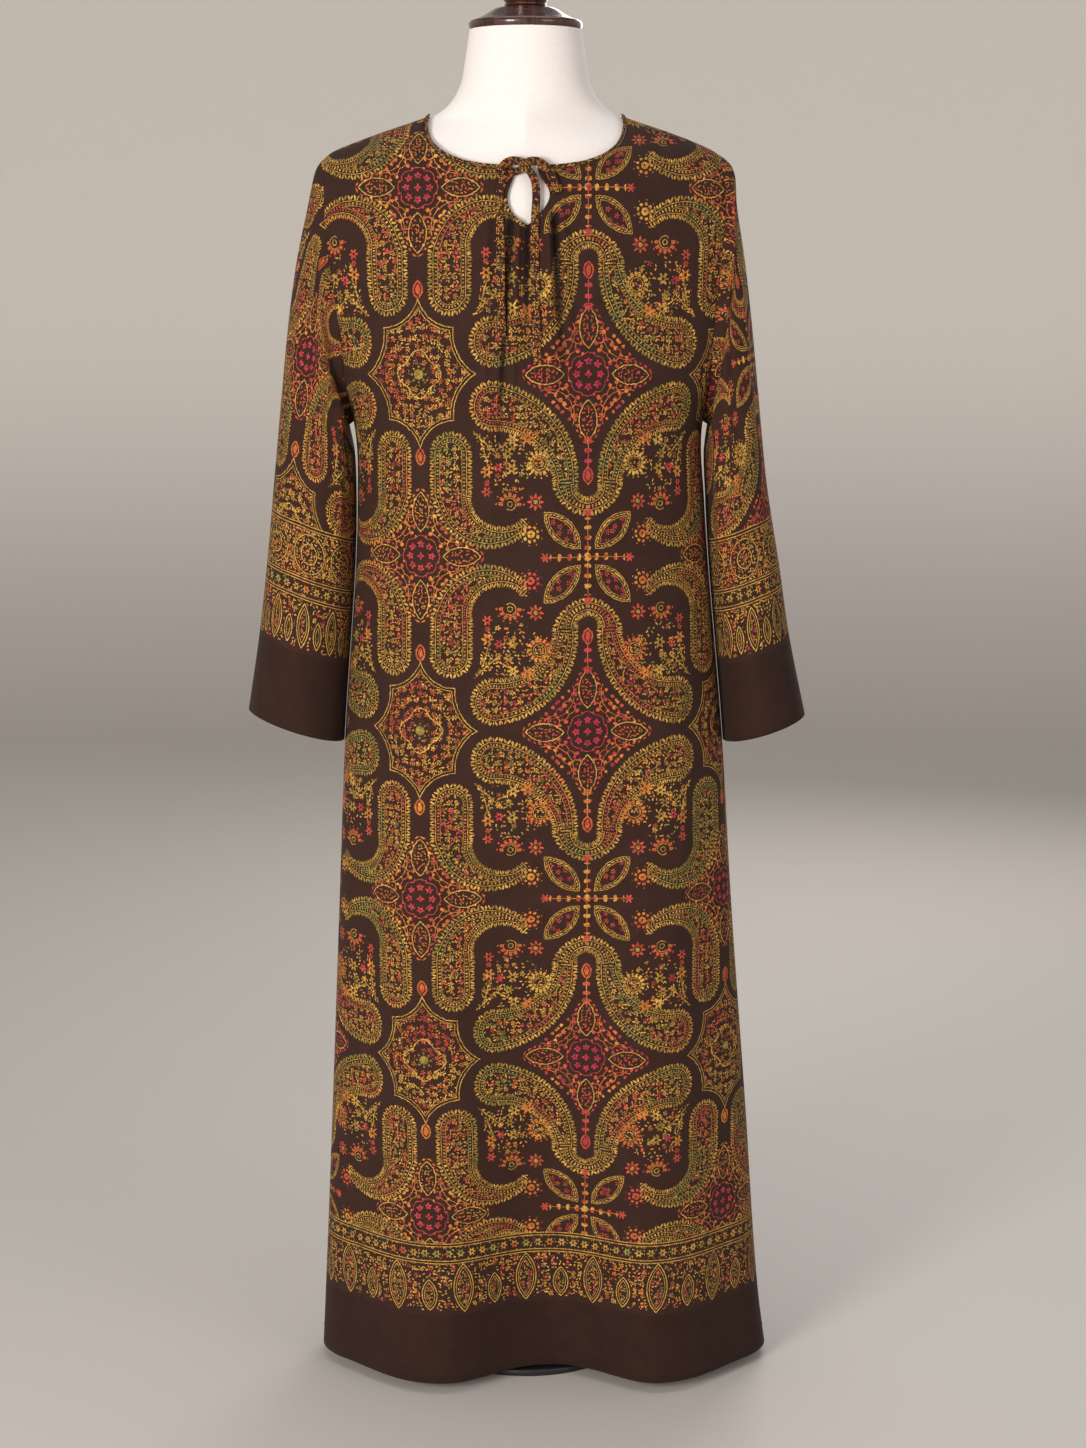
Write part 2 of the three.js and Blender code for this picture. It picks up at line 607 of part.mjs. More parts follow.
// A loop of the bow: out along its places and back under itself, joined at the far end.
function tieLoop(places, steps) {
  const back = places.map((place) => ({ ...place, lift: place.lift - TIE.thickness - LOOP_LEAF }));
  const [before, far] = places.slice(-2);
  const end = {
    x: far.x + (far.x - before.x) * LOOP_TURN,
    z: far.z + (far.z - before.z) * LOOP_TURN,
    lift: far.lift - (TIE.thickness + LOOP_LEAF) / 2,
  };
  return tieStrip([...places, end, ...back.reverse()], steps);
}

// The knot: a small rounded lump over the keyhole's top, in front of the binding's two ends.
function knot() {
  const geometry = new THREE.SphereGeometry(0.5, SIDES.knot, SIDES.knotRings);
  geometry.rotateX(Math.PI / 2);
  geometry.scale(KNOT.width, KNOT.depth, KNOT.height);
  const angle = frontPlace(KNOT.x, KNOT.z);
  const centre = bodyPoint(angle, KNOT.z).addScaledVector(bodyNormal(angle, KNOT.z), KNOT.lift);
  geometry.translate(centre.x, centre.y, centre.z);
  return geometry;
}

// ---------------------------------------------------------------- dress form and stand

function torsoRing({ z, half, front: ahead, back: behind, square }) {
  return Array.from({ length: SIDES.torso }, (_, i) => {
    const angle = (2 * Math.PI * i) / SIDES.torso;
    const depth = Math.sin(angle) >= 0 ? ahead : behind;
    return new THREE.Vector3(
      -half * signedPower(Math.cos(angle), 2 / square),
      GARMENT_Y - depth * signedPower(Math.sin(angle), 2 / square),
      z);
  });
}

const boardBottom = TORSO_SECTIONS[0].z - BOARD.thickness;

// The bottom board follows the form's own outline, a little smaller.
function bottomBoard() {
  const row = TORSO_SECTIONS[0];
  const outline = {
    ...row,
    half: row.half - BOARD.inset,
    front: row.front - BOARD.inset,
    back: row.back - BOARD.inset,
  };
  const top = torsoRing({ ...outline, z: row.z - SEAM_GAP });
  const bottom = torsoRing({ ...outline, z: boardBottom });
  return loft([bottom, top]);
}

// A turned piece: a profile from the axis out and back to the axis.
function turned(profile, bottomZ) {
  const points = [
    new THREE.Vector2(0, profile[0].z),
    ...profile.map(({ r, z }) => new THREE.Vector2(r, z)),
    new THREE.Vector2(0, profile[profile.length - 1].z),
  ];
  const geometry = new THREE.LatheGeometry(points, SIDES.turned);
  geometry.rotateX(Math.PI / 2);
  geometry.translate(0, 0, bottomZ);
  return geometry;
}

// The base: a round plate with a socket that the pole stands in.
function baseProfile() {
  const bore = POLE.radius + BASE.fit;
  return [
    { r: BASE.radius - BASE.edge, z: 0 },
    { r: BASE.radius, z: BASE.edge },
    { r: BASE.radius, z: BASE.thickness - BASE.edge },
    { r: BASE.radius - BASE.edge, z: BASE.thickness },
    { r: BASE.socket, z: BASE.thickness },
    { r: BASE.socket, z: BASE.socketTop },
    { r: bore, z: BASE.socketTop },
    { r: bore, z: POLE.foot },
  ];
}

// ---------------------------------------------------------------- the model

const material = (color, roughness, metalness = 0) =>
  new THREE.MeshStandardMaterial({ color, roughness, metalness });
const PRINTED_TWILL = material(0x4a3320, 0.85);
const WHITE_COVER = material(0xefe6dc, 0.8);
const POLISHED_WOOD = material(0x3a1c13, 0.28);
const BOARD_WOOD = material(0x8a6a48, 0.6);
const BLACK_STEEL = material(0x1b1a1a, 0.45, 0.6);

const kaftan = new THREE.Group();

function add(name, geometry, finish) {
  const mesh = new THREE.Mesh(geometry, finish);
  mesh.name = name;
  kaftan.add(mesh);
  return mesh;
}

add("kaftan_front", fromManifold(frontCut), PRINTED_TWILL);
add("kaftan_back", wall(back.grid, back.normals, CLOTH), PRINTED_TWILL);
add("sleeve_left", wall(sleeveLeft.rings, sleeveLeft.normals, CLOTH, true), PRINTED_TWILL);
add("sleeve_right", wall(sleeveRight.rings, sleeveRight.normals, CLOTH, true), PRINTED_TWILL);
add("neck_binding", bindingWall(), PRINTED_TWILL);
add("neck_tie_knot", knot(), PRINTED_TWILL);
add("neck_tie_loop_left", tieLoop(LOOP_LEFT, STEPS.loopLeft), PRINTED_TWILL);
add("neck_tie_loop_right", tieLoop(LOOP_RIGHT, STEPS.loopRight), PRINTED_TWILL);
add("neck_tie_tail_left", tieStrip(TAIL_LEFT, STEPS.tail), PRINTED_TWILL);
add("neck_tie_tail_right", tieStrip(TAIL_RIGHT, STEPS.tail), PRINTED_TWILL);
add("form_torso", loft(TORSO_SECTIONS.map(torsoRing)), WHITE_COVER);
add("form_board", bottomBoard(), BOARD_WOOD);

const cap = add("neck_cap", turned(CAP_PROFILE, 0), POLISHED_WOOD);
cap.position.set(0, GARMENT_Y, CAP_Z + SEAM_GAP);
const knob = add("cap_knob", turned(KNOB_PROFILE, 0), POLISHED_WOOD);
knob.position.set(0, GARMENT_Y, cap.position.z + CAP_PROFILE[CAP_PROFILE.length - 1].z + SEAM_GAP);

const poleLength = boardBottom - SEAM_GAP - POLE.foot - SEAM_GAP;
const poleGeometry = new THREE.CylinderGeometry(POLE.radius, POLE.radius, poleLength, SIDES.pole);
const pole = add("stand_pole", poleGeometry, BLACK_STEEL);
pole.rotation.x = Math.PI / 2;
pole.position.z = POLE.foot + SEAM_GAP + poleLength / 2;
add("stand_base", turned(baseProfile(), 0), BLACK_STEEL);

export default kaftan;
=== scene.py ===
import math
import bpy
import bmesh
import numpy as np
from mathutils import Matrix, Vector


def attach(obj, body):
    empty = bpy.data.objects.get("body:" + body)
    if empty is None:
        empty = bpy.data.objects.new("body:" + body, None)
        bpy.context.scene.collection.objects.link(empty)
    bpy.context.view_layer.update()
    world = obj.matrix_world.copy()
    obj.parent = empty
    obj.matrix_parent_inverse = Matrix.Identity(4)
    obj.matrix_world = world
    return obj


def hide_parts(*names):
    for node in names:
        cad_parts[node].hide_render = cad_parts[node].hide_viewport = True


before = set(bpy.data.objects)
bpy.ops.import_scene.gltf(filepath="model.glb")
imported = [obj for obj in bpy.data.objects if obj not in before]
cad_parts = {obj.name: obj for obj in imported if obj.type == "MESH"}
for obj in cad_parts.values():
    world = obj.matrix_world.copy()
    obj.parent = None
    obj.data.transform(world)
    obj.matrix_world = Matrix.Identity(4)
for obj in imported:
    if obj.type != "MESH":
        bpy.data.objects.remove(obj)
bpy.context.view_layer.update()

# ---------------------------------------------------------------- camera
# A photographer's camera on a tripod, level with the bust, 3 m ahead of the kaftan and tipped down
# until the whole garment fills the upright frame.

EYE = Vector((0.0185, -3.085, 1.18))
LENS_MM, FILM_MM = 70.0, 36.0
TIP_DOWN = math.radians(8.58)

camera_data = bpy.data.cameras.new("camera")
camera_data.lens = LENS_MM
camera_data.sensor_width = FILM_MM
camera = bpy.data.objects.new("camera", camera_data)
camera.location = EYE
camera.rotation_euler = (math.pi / 2 - TIP_DOWN, 0, 0)
bpy.context.collection.objects.link(camera)
bpy.context.scene.camera = camera

# ---------------------------------------------------------------- the body's cut and hang
# Front and back are two straight, slightly flared lengths of thin printed twill. Sewn together and put on
# the form they hang as one tube, folded into soft flutes at the hem. Every other piece lies on this surface.

CLOTH = 0.0011  # thickness of the twill
GARMENT_Y = -0.025  # the garment's mid-plane, ahead of the stand's pole
HEM_Z = 0.012
UNDERARM_Z = 1.050
TIP_Z = 1.335  # shoulder tip
NECK_Z = 1.3715  # where the shoulder seam ends

# height: left side, right side, front and back stand-off, squareness
BODY_SECTIONS = [
    (0.012, -0.2305, 0.2697, 0.122, 0.142, 2.1),
    (0.070, -0.2275, 0.262, 0.121, 0.140, 2.1),
    (0.292, -0.217, 0.245, 0.118, 0.133, 2.15),
    (0.521, -0.207, 0.227, 0.115, 0.125, 2.2),
    (0.700, -0.199, 0.2155, 0.113, 0.122, 2.2),
    (0.964, -0.1825, 0.1934, 0.116, 0.112, 2.2),
    (1.050, -0.186, 0.191, 0.119, 0.106, 2.2),
    (1.100, -0.203, 0.207, 0.1205, 0.103, 2.2),
    (1.160, -0.219, 0.221, 0.117, 0.102, 2.2),
    (1.220, -0.231, 0.231, 0.107, 0.101, 2.15),
    (1.280, -0.234, 0.232, 0.090, 0.093, 2.05),
    (1.310, -0.226, 0.222, 0.0775, 0.084, 2.0),
    (1.335, -0.206, 0.202, 0.062, 0.075, 2.0),
    (1.345, -0.182, 0.181, 0.050, 0.071, 2.0),
    (1.355, -0.155, 0.155, 0.042, 0.0685, 2.0),
    (1.364, -0.128, 0.128, 0.034, 0.067, 2.0),
    (1.3715, -0.1055, 0.1055, 0.027, 0.066, 2.0),
]

# angle round the body in degrees, reach, how far it stands out at the hem, height where it dies away
SKIRT_FOLDS = [
    (92, 27, -0.044, 0.780),
    (59, 30, 0.027, 1.000),
    (122, 30, 0.027, 1.000),
    (222, 20, -0.013, 0.820),
    (244, 24, 0.015, 0.950),
    (268, 22, -0.018, 0.860),
    (293, 25, 0.016, 0.960),
    (318, 19, -0.012, 0.760),
]
FOLD_FADE = 1.4


def smooth_table(rows):
    """A smooth curve through a table's rows; the first column is the key."""
    table = np.array(rows, dtype=float)
    key, values = table[:, 0], table[:, 1:]
    secant = np.diff(values, axis=0) / np.diff(key)[:, None]
    tangent = np.vstack([secant[:1], (secant[1:] + secant[:-1]) / 2, secant[-1:]])

    def at(place):
        place = np.clip(np.asarray(place, dtype=float), key[0], key[-1])
        row = np.clip(np.searchsorted(key, place, side="right") - 1, 0, len(key) - 2)
        span = (key[row + 1] - key[row])[..., None]
        p = (place - key[row])[..., None] / span
        value = ((2 * p**3 - 3 * p**2 + 1) * values[row]
                 + (p**3 - 2 * p**2 + p) * span * tangent[row]
                 + (3 * p**2 - 2 * p**3) * values[row + 1]
                 + (p**3 - p**2) * span * tangent[row + 1])
        return np.moveaxis(value, -1, 0)

    return at


def spow(value, power):
    return np.sign(value) * np.abs(value) ** power


body_section = smooth_table(BODY_SECTIONS)


def body_point(angle, z):
    """A point of the body's cloth. Angle 0 is the left side seam, 90 degrees the middle of the front and
    -90 degrees the middle of the back."""
    left, right, front, back, square = body_section(z)
    facing = np.where(np.sin(angle) >= 0, 1.0, -1.0)
    fold = 0.0
    degrees = np.degrees(angle) % 360
    for middle, reach, depth, top in SKIRT_FOLDS:
        off = np.clip((degrees - middle) / reach, -1, 1)
        height = np.clip((top - z) / (top - HEM_Z), 0, None)
        fold = fold + depth * np.cos(off * np.pi / 2) ** 2 * height**FOLD_FADE
    x = (left + right) / 2 - (right - left) / 2 * spow(np.cos(angle), 2 / square)
    depth = np.where(facing > 0, front, back)
    y = GARMENT_Y - spow(np.sin(angle), 2 / square) * depth - facing * fold
    return np.stack([x, y, z + 0 * x], axis=-1)


def unit(vectors):
    return vectors / np.linalg.norm(vectors, axis=-1, keepdims=True)


def body_normal(angle, z, step=0.02):
    across = body_point(angle + step, z) - body_point(angle - step, z)
    up = body_point(angle, z + step / 50) - body_point(angle, z - step / 50)
    return unit(np.cross(across, up))


def front_angle(x, z):
    """The angle at which the front's cloth lies over an x, at a height."""
    left, right, _, _, square = body_section(z)
    reach = np.clip((x - (left + right) / 2) / ((right - left) / 2), -1, 1)
    return np.arccos(-spow(reach, square / 2))


# ---------------------------------------------------------------- neck tie
# The neck binding's two ends run on as a narrow tie of the same twill, folded in four and stitched flat.
# It is knotted in a small bow over the keyhole: two loops, and two limp tails that hang on the front.

TIE_WIDTH = 0.0085
TIE_THICKNESS = 0.0014
LOOP_LEAF = 0.0022  # opening between the two leaves of a loop
LOOP_TURN = 0.35  # how far a loop's turn goes past its last place, as a share of the step before it
TIE_SIDES = 12

# from the knot out: x, z, and how far the underside lies in front of the panel
TIE_TAIL_LEFT = [
    (-0.0035, 1.3125, 0.0022),
    (-0.008, 1.311, 0.0016),
    (-0.018, 1.307, 0.001),
    (-0.0245, 1.297, 0.0009),
    (-0.0265, 1.282, 0.0009),
    (-0.026, 1.255, 0.0009),
    (-0.0255, 1.225, 0.0008),
    (-0.025, 1.185, 0.0008),
    (-0.024, 1.142, 0.0008),
]
TIE_TAIL_RIGHT = [
    (0.002, 1.312, 0.0036),
    (0.006, 1.308, 0.003),
    (0.010, 1.300, 0.0024),
    (0.0115, 1.286, 0.0018),
    (0.0105, 1.266, 0.0012),
    (0.0098, 1.240, 0.0009),
    (0.0102, 1.205, 0.0008),
    (0.0115, 1.160, 0.0008),
    (0.0125, 1.116, 0.0008),
]
TIE_LOOP_LEFT = [
    (-0.0038, 1.3175, 0.0082),
    (-0.0078, 1.3185, 0.0084),
    (-0.015, 1.319, 0.0078),
    (-0.0215, 1.3155, 0.0072),
    (-0.025, 1.309, 0.0068),
]
TIE_LOOP_RIGHT = [
    (0.0024, 1.3185, 0.0062),
    (0.0064, 1.3195, 0.0064),
    (0.014, 1.319, 0.006),
    (0.022, 1.3135, 0.0054),
    (0.0275, 1.305, 0.0048),
    (0.0315, 1.292, 0.0044),
]


def spline(points, count):
    """Points evenly spaced along a smooth curve through some points, and the curve's length."""
    points = np.array(points, dtype=float)
    chord = np.linalg.norm(np.diff(points, axis=0), axis=1) ** 0.5
    key = np.concatenate([[0], np.cumsum(chord)])
    dense = smooth_table(np.column_stack([key, points]))(np.linspace(0, key[-1], 600)).T
    along = np.concatenate([[0], np.cumsum(np.linalg.norm(np.diff(dense, axis=0), axis=1))])
    even = np.linspace(0, along[-1], count)
    return np.column_stack([np.interp(even, along, dense[:, k]) for k in range(3)]), along[-1]


def on_front(places, rise):
    """Points over the front panel at x, z and a lift, and a further rise."""
    x, z, lift = np.array(places).T
    angle = front_angle(x, z)
    return body_point(angle, z) + body_normal(angle, z) * (lift + rise)[:, None]


def loop_places(places):
    """A loop's places: out along its own, round the turn, and back under itself."""
    (x0, z0, _), (x1, z1, lift) = places[-2:]
    turn = (x1 + (x1 - x0) * LOOP_TURN, z1 + (z1 - z0) * LOOP_TURN,
            lift - (TIE_THICKNESS + LOOP_LEAF) / 2)
    back = [(x, z, lift - TIE_THICKNESS - LOOP_LEAF) for x, z, lift in places]
    return [*places, turn, *back[::-1]]


def new_piece(name, points, faces, uv_layers=None, smooth=True):
    """A mesh object at the origin. uv_layers holds, by name, a uv pair for each point."""
    mesh = bpy.data.meshes.new(name)
    mesh.from_pydata(np.reshape(points, (-1, 3)).tolist(), [], faces)
    loop_points = np.zeros(len(mesh.loops), dtype=np.int32)
    mesh.loops.foreach_get("vertex_index", loop_points)
    for layer_name, uv in (uv_layers or {}).items():
        layer = mesh.uv_layers.new(name=layer_name)
        layer.data.foreach_set("uv", np.reshape(uv, (-1, 2)).astype(np.float32)[loop_points].ravel())
    if smooth:
        mesh.shade_smooth()
    piece = bpy.data.objects.new(name, mesh)
    bpy.context.collection.objects.link(piece)
    return piece


def outward(piece):
    """Turns a closed piece's faces to point out."""
    work = bmesh.new()
    work.from_mesh(piece.data)
    bmesh.ops.recalc_face_normals(work, faces=work.faces)
    work.to_mesh(piece.data)
    work.free()


def grid_faces(rows, columns, closed=False):
    """Quads between the points of a grid, and round to its first column where it is closed."""
    width = columns if closed else columns + 1
    return [(r * width + c, r * width + (c + 1) % width,
             (r + 1) * width + (c + 1) % width, (r + 1) * width + c)
            for r in range(rows) for c in range(columns)]


def closed_solid(name, rings, uv_layers=None):
    """A closed solid through rings of points, with a flat face at each end."""
    count, sides = len(rings), len(rings[0])
    faces = grid_faces(count - 1, sides, closed=True)
    faces += [tuple(range(sides))[::-1], tuple(range((count - 1) * sides, count * sides))]
    piece = new_piece(name, rings, faces, uv_layers)
    outward(piece)
    return piece


def ribbon(name, route, width, thickness, count):
    """A flat ribbon with rounded edges along a route over the front, its centreline and its length."""
    line, length = spline(route, count)
    along = unit(np.gradient(line, axis=0))
    angle = front_angle(line[:, 0], line[:, 2])
    across = unit(np.cross(along, body_normal(angle, line[:, 2])))
    out = unit(np.cross(across, along))
    turn = 2 * np.pi * np.arange(TIE_SIDES) / TIE_SIDES
    side = spow(np.cos(turn), 0.6) * width / 2
    lift = spow(np.sin(turn), 0.8) * thickness / 2
    rings = line[:, None] + across[:, None] * side[:, None] + out[:, None] * lift[:, None]
    runs = np.linspace(0, length, count)[:, None] + lift
    piece = closed_solid(name, rings, {"print": np.stack([side + 0 * runs, runs], axis=-1)})
    return piece, line, length


tie_pieces = []
for tie_name, tie_places, tie_count in [
    ("tail_left", TIE_TAIL_LEFT, 60),
    ("tail_right", TIE_TAIL_RIGHT, 60),
    ("loop_left", loop_places(TIE_LOOP_LEFT), 50),
    ("loop_right", loop_places(TIE_LOOP_RIGHT), 60),
]:
    tie_route = on_front(tie_places, TIE_THICKNESS / 2)
    tie_piece, tie_line, tie_length = ribbon(
        "tie_" + tie_name, tie_route, TIE_WIDTH, TIE_THICKNESS, tie_count)
    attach(tie_piece, "root")
    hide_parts("neck_tie_" + tie_name)
    "bare" if "tail" in tie_name else "object"
    tie_pieces.append(tie_piece)

# the knot: the two ends wrapped once round each other into a small flattened lump with a band over it
KNOT_X, KNOT_Z, KNOT_LIFT = -0.0006, 1.3155, 0.0046
KNOT_WIDTH, KNOT_DEPTH, KNOT_HEIGHT = 0.0128, 0.009, 0.0145
KNOT_ROWS, KNOT_SIDES = 26, 40


def tie_knot():
    angle = front_angle(np.array(KNOT_X), np.array(KNOT_Z))
    centre = body_point(angle, KNOT_Z) + body_normal(angle, KNOT_Z) * KNOT_LIFT
    polar = np.pi * (np.arange(KNOT_ROWS)[:, None] + 0.5) / KNOT_ROWS
    turn = 2 * np.pi * np.arange(KNOT_SIDES) / KNOT_SIDES
    x, y, z = np.sin(polar) * np.cos(turn), np.sin(polar) * np.sin(turn), np.cos(polar) + 0 * turn
    folds = 0.07 * np.cos((x * 1.6 + z * 0.5) * 5.0)
    groove = 0.10 * np.exp(-((x * 0.9 + z * 0.35) / 0.16) ** 2)
    half = (1 + folds - groove)[..., None] / 2
    lump = np.stack([spow(x, 0.85) * KNOT_WIDTH, y * KNOT_DEPTH, spow(z, 0.9) * KNOT_HEIGHT], axis=-1)
    uv = np.stack([x * KNOT_WIDTH, z * KNOT_HEIGHT + y * KNOT_DEPTH], axis=-1)
    return closed_solid("tie_knot", centre + lump * half, {"print": uv})


knot = tie_knot()
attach(knot, "root")
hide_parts("neck_tie_knot")
tie_pieces.append(knot)

# ---------------------------------------------------------------- front and back panels
# Two lengths of the printed twill, each cut in one from shoulder to hem: the front with a scooped neck and
# a keyhole slit, the back with a higher neck. They are seamed at the shoulders and sides, 0.3 mm apart.

SEAM_GAP = 0.0003
FRONT_GRID = 240, (110, 60, 12)  # columns; rows up the skirt, the armhole and the shoulder seam
BACK_GRID = 160, (110, 56, 12)
MIDDLE_FINER = 0.4  # how much closer a panel's columns lie at its middle
PRINT_SHIFT_BACK = 0.05
# height: how far round from the side the armhole lies, in degrees, on the front and on the back
ARMHOLE = [
    (1.050, 0, 0),
    (1.064, 9, 8),
    (1.090, 17, 14),
    (1.130, 24, 19.5),
    (1.180, 27, 22),
    (1.230, 27, 22),
    (1.270, 25.5, 21),
    (1.300, 22, 19),
    (1.320, 15, 14),
    (1.335, 0, 0),
]
NECK_HALF = 0.107  # half the neck's width
NECK_SQUARE = 2.6  # 2 is an ellipse, more is squarer
NECK_DEPTH = {"front": 0.0575, "back": 0.011}
# the keyhole's outline from the neck down: height, left edge, right edge
KEYHOLE = [
    (1.325, -0.009, 0.010),
    (1.308, -0.0115, 0.015),
    (1.289, -0.018, 0.0255),
    (1.277, -0.0175, 0.022),
    (1.263, -0.008, 0.010),
    (1.256, 0.0025, 0.0025),
]

armhole_at = smooth_table(ARMHOLE)


def neck_edge(share, depth):
    """The neck's edge at a share of the way across: its angle round the body and its height."""
    turn = np.pi * share - np.sin(2 * np.pi * share) / 4
    x = -NECK_HALF * spow(np.cos(turn), 2 / NECK_SQUARE)
    z = NECK_Z - depth * np.abs(np.sin(turn)) ** (2 / NECK_SQUARE)
    return front_angle(x, z), z


def edge_heights(skirt, armhole, shoulder):
    """Heights of a panel's rows at its side edges, hem to neck."""
    bend = (1 - np.cos(np.pi * np.arange(armhole) / armhole)) / 2
    return np.concatenate([
        np.linspace(HEM_Z, UNDERARM_Z, skirt, endpoint=False),
        UNDERARM_Z + (TIP_Z - UNDERARM_Z) * bend,
        np.linspace(TIP_Z, NECK_Z, shoulder + 1)])


def panel_places(columns, face, heights):
    """Angle and height of each point of a panel's grid."""
    depth = NECK_DEPTH[face]
    even = np.linspace(0, 1, columns + 1)[None, :]
    share = even + MIDDLE_FINER * np.sin(2 * np.pi * even) / (2 * np.pi)
    edge_z = heights[:, None]
    rise = np.clip((edge_z - UNDERARM_Z) / (NECK_Z - UNDERARM_Z), 0, None)
    near_neck = np.clip((edge_z - TIP_Z) / (NECK_Z - TIP_Z), 0, None)
    inset = np.radians(armhole_at(edge_z)[0 if face == "front" else 1])
    neck_angle, neck_z = neck_edge(share, depth)
    level = inset + (np.pi - 2 * inset) * share
    angle = level + (neck_angle - np.pi * share) * near_neck
    sag = -depth * np.sin(np.pi * share) ** 2
    z = edge_z + (sag + (neck_z - NECK_Z - sag) * near_neck) * rise
    return (angle if face == "front" else -angle), z


def cloth_uv(face, angle, z):
    """Where each point lies in the flat cloth: across from the centre line and up from the hem, in metres."""
    side = 1 if face == "front" else -1
    angles = np.linspace(0, np.pi, 361)
    heights = np.linspace(HEM_Z, NECK_Z, 260)
    table = body_point(side * angles[None, :], heights[:, None])
    across = np.cumsum(np.linalg.norm(np.diff(table, axis=1), axis=2), axis=1)
    across = np.concatenate([np.zeros((len(heights), 1)), across], axis=1)
    centre = np.array([np.interp(front_angle(np.array(0.0), height), angles, row)
                       for height, row in zip(heights, across)])
    across = across - centre[:, None]
    step = np.diff(table, axis=0)
    tangent = unit(np.gradient(table, axis=1))[:-1]
    slant = np.linalg.norm(step - (step * tangent).sum(axis=2, keepdims=True) * tangent, axis=2)
    up = np.concatenate([np.zeros((1, len(angles))), np.cumsum(slant, axis=0)], axis=0)
    row = np.clip((z - HEM_Z) / (heights[1] - heights[0]), 0, len(heights) - 1.001)
    column = np.clip(side * angle / (angles[1] - angles[0]), 0, len(angles) - 1.001)
    j, i = row.astype(int), column.astype(int)
    p, q = row - j, column - i

    def look(grid):
        return ((1 - p) * ((1 - q) * grid[j, i] + q * grid[j, i + 1])
                + p * ((1 - q) * grid[j + 1, i] + q * grid[j + 1, i + 1]))

    return look(across), look(up)


def creased(u, v, creases):
    """How far the cloth stands out (+) or sinks in (-) at places across and up, in metres."""
    out = np.zeros_like(u)
    for across, bottom, top, reach, depth, lean, peak in creases:
        share = np.clip((v - bottom) / (top - bottom), 0, 1)
        below = np.sin(np.pi / 2 * np.clip(share / max(peak, 1e-3), 0, 1)) ** 2
        above = np.cos(np.pi / 2 * np.clip((share - peak) / max(1 - peak, 1e-3), 0, 1)) ** 2
        off = (u - across - lean * (share - 0.5)) / reach
        out += depth * np.where(share < peak, below, above) * np.exp(-off**2)
    return out


def cloth_area(piece):
    """The area of an open sheet."""
    areas = np.zeros(len(piece.data.polygons))
    piece.data.polygons.foreach_get("area", areas)
    return float(areas.sum())


def give_thickness(piece, thickness):
    """Turns a sheet into a wall inside its outer face."""
    solid = piece.modifiers.new("thickness", "SOLIDIFY")
    solid.thickness = thickness
    solid.offset = -1
    solid.use_quality_normals = True
    apply_modifiers(piece)


def apply_modifiers(piece):
    """Makes a piece's modifiers part of its mesh."""
    evaluated = piece.evaluated_get(bpy.context.evaluated_depsgraph_get())
    finished = bpy.data.meshes.new_from_object(evaluated)
    piece.modifiers.clear()
    piece.data = finished


# across, bottom, top, reach, how far it stands out, lean, where along it is deepest
FRONT_CREASES = [
    # from the keyhole down: two soft troughs beside the tails, and the cloth full between them
    (-0.0238, 0.930, 1.268, 0.0030, -0.0034, 0.0195, 0.92),
    (0.0355, 1.040, 1.268, 0.0030, -0.0036, -0.0125, 0.92),
    (-0.0108, 1.000, 1.266, 0.0034, 0.0074, 0.010, 0.90),
    (0.0270, 1.020, 1.266, 0.0034, 0.0072, -0.008, 0.92),
    (0.0012, 1.080, 1.258, 0.0024, -0.0026, 0.003, 0.90),
    (-0.0420, 0.960, 1.275, 0.0052, 0.0060, 0.006, 0.88),
    (0.0450, 1.030, 1.272, 0.0050, 0.0058, -0.014, 0.88),
    # drag lines from the armholes towards the bust
    (-0.170, 1.080, 1.230, 0.0100, -0.0030, 0.050, 0.5),
    (-0.150, 1.060, 1.190, 0.0120, 0.0024, 0.055, 0.5),
    (0.172, 1.090, 1.240, 0.0100, -0.0028, -0.050, 0.5),
    (0.148, 1.050, 1.180, 0.0120, 0.0022, -0.050, 0.5),
    # long soft undulations of the skirt
    (-0.120, 0.300, 0.960, 0.0260, 0.0042, 0.020, 0.35),
    (-0.070, 0.380, 1.010, 0.0200, -0.0032, 0.016, 0.45),
    (0.035, 0.420, 1.080, 0.0230, 0.0030, -0.010, 0.4),
    (0.098, 0.350, 0.980, 0.0240, -0.0036, -0.014, 0.45),
    (0.165, 0.280, 0.920, 0.0240, 0.0042, -0.018, 0.4),
    (-0.185, 0.220, 0.900, 0.0200, -0.0040, 0.012, 0.4),
    (-0.020, 0.620, 1.120, 0.0170, -0.0018, 0.004, 0.5),
]
BACK_CREASES = [
    (-0.140, 0.250, 0.980, 0.0260, 0.0042, 0.020, 0.35),
    (-0.075, 0.330, 1.120, 0.0220, -0.0036, 0.010, 0.5),
    (-0.010, 0.380, 1.180, 0.0240, 0.0040, -0.006, 0.45),
    (0.060, 0.300, 1.100, 0.0220, -0.0036, -0.012, 0.5),
    (0.130, 0.260, 0.960, 0.0250, 0.0042, -0.018, 0.4),
    (-0.165, 1.060, 1.230, 0.0120, -0.0024, 0.040, 0.5),
    (0.165, 1.070, 1.240, 0.0120, -0.0024, -0.040, 0.5),
]
CREASE_SIDE_FADE, CREASE_TOP_FADE = 0.015, 0.03  # creases die away this near a side edge and the neck
PINCHED_REACH = 0.0031  # a crease of less reach than this is a pinched fold, whose shadow is painted into the cloth's colour
PINCHED_DEPTH = 0.0018  # this far down in it, the painted shadow is full
PRINT_ROW = 0.367  # the print's repeat, up the cloth
PRINT_TOP = 1.30  # a row of four-petalled flowers lies at this height on the front
PRINT_RATE, PRINT_STRETCH = 2.509, 0.1935  # rows in a metre there, and how much that grows further down


def print_height(v):
    """Height up the cloth in the print's own measure, which changes a little towards the hem."""
    below = PRINT_TOP - v
    return -PRINT_ROW * (PRINT_RATE * below + PRINT_STRETCH * below**2)


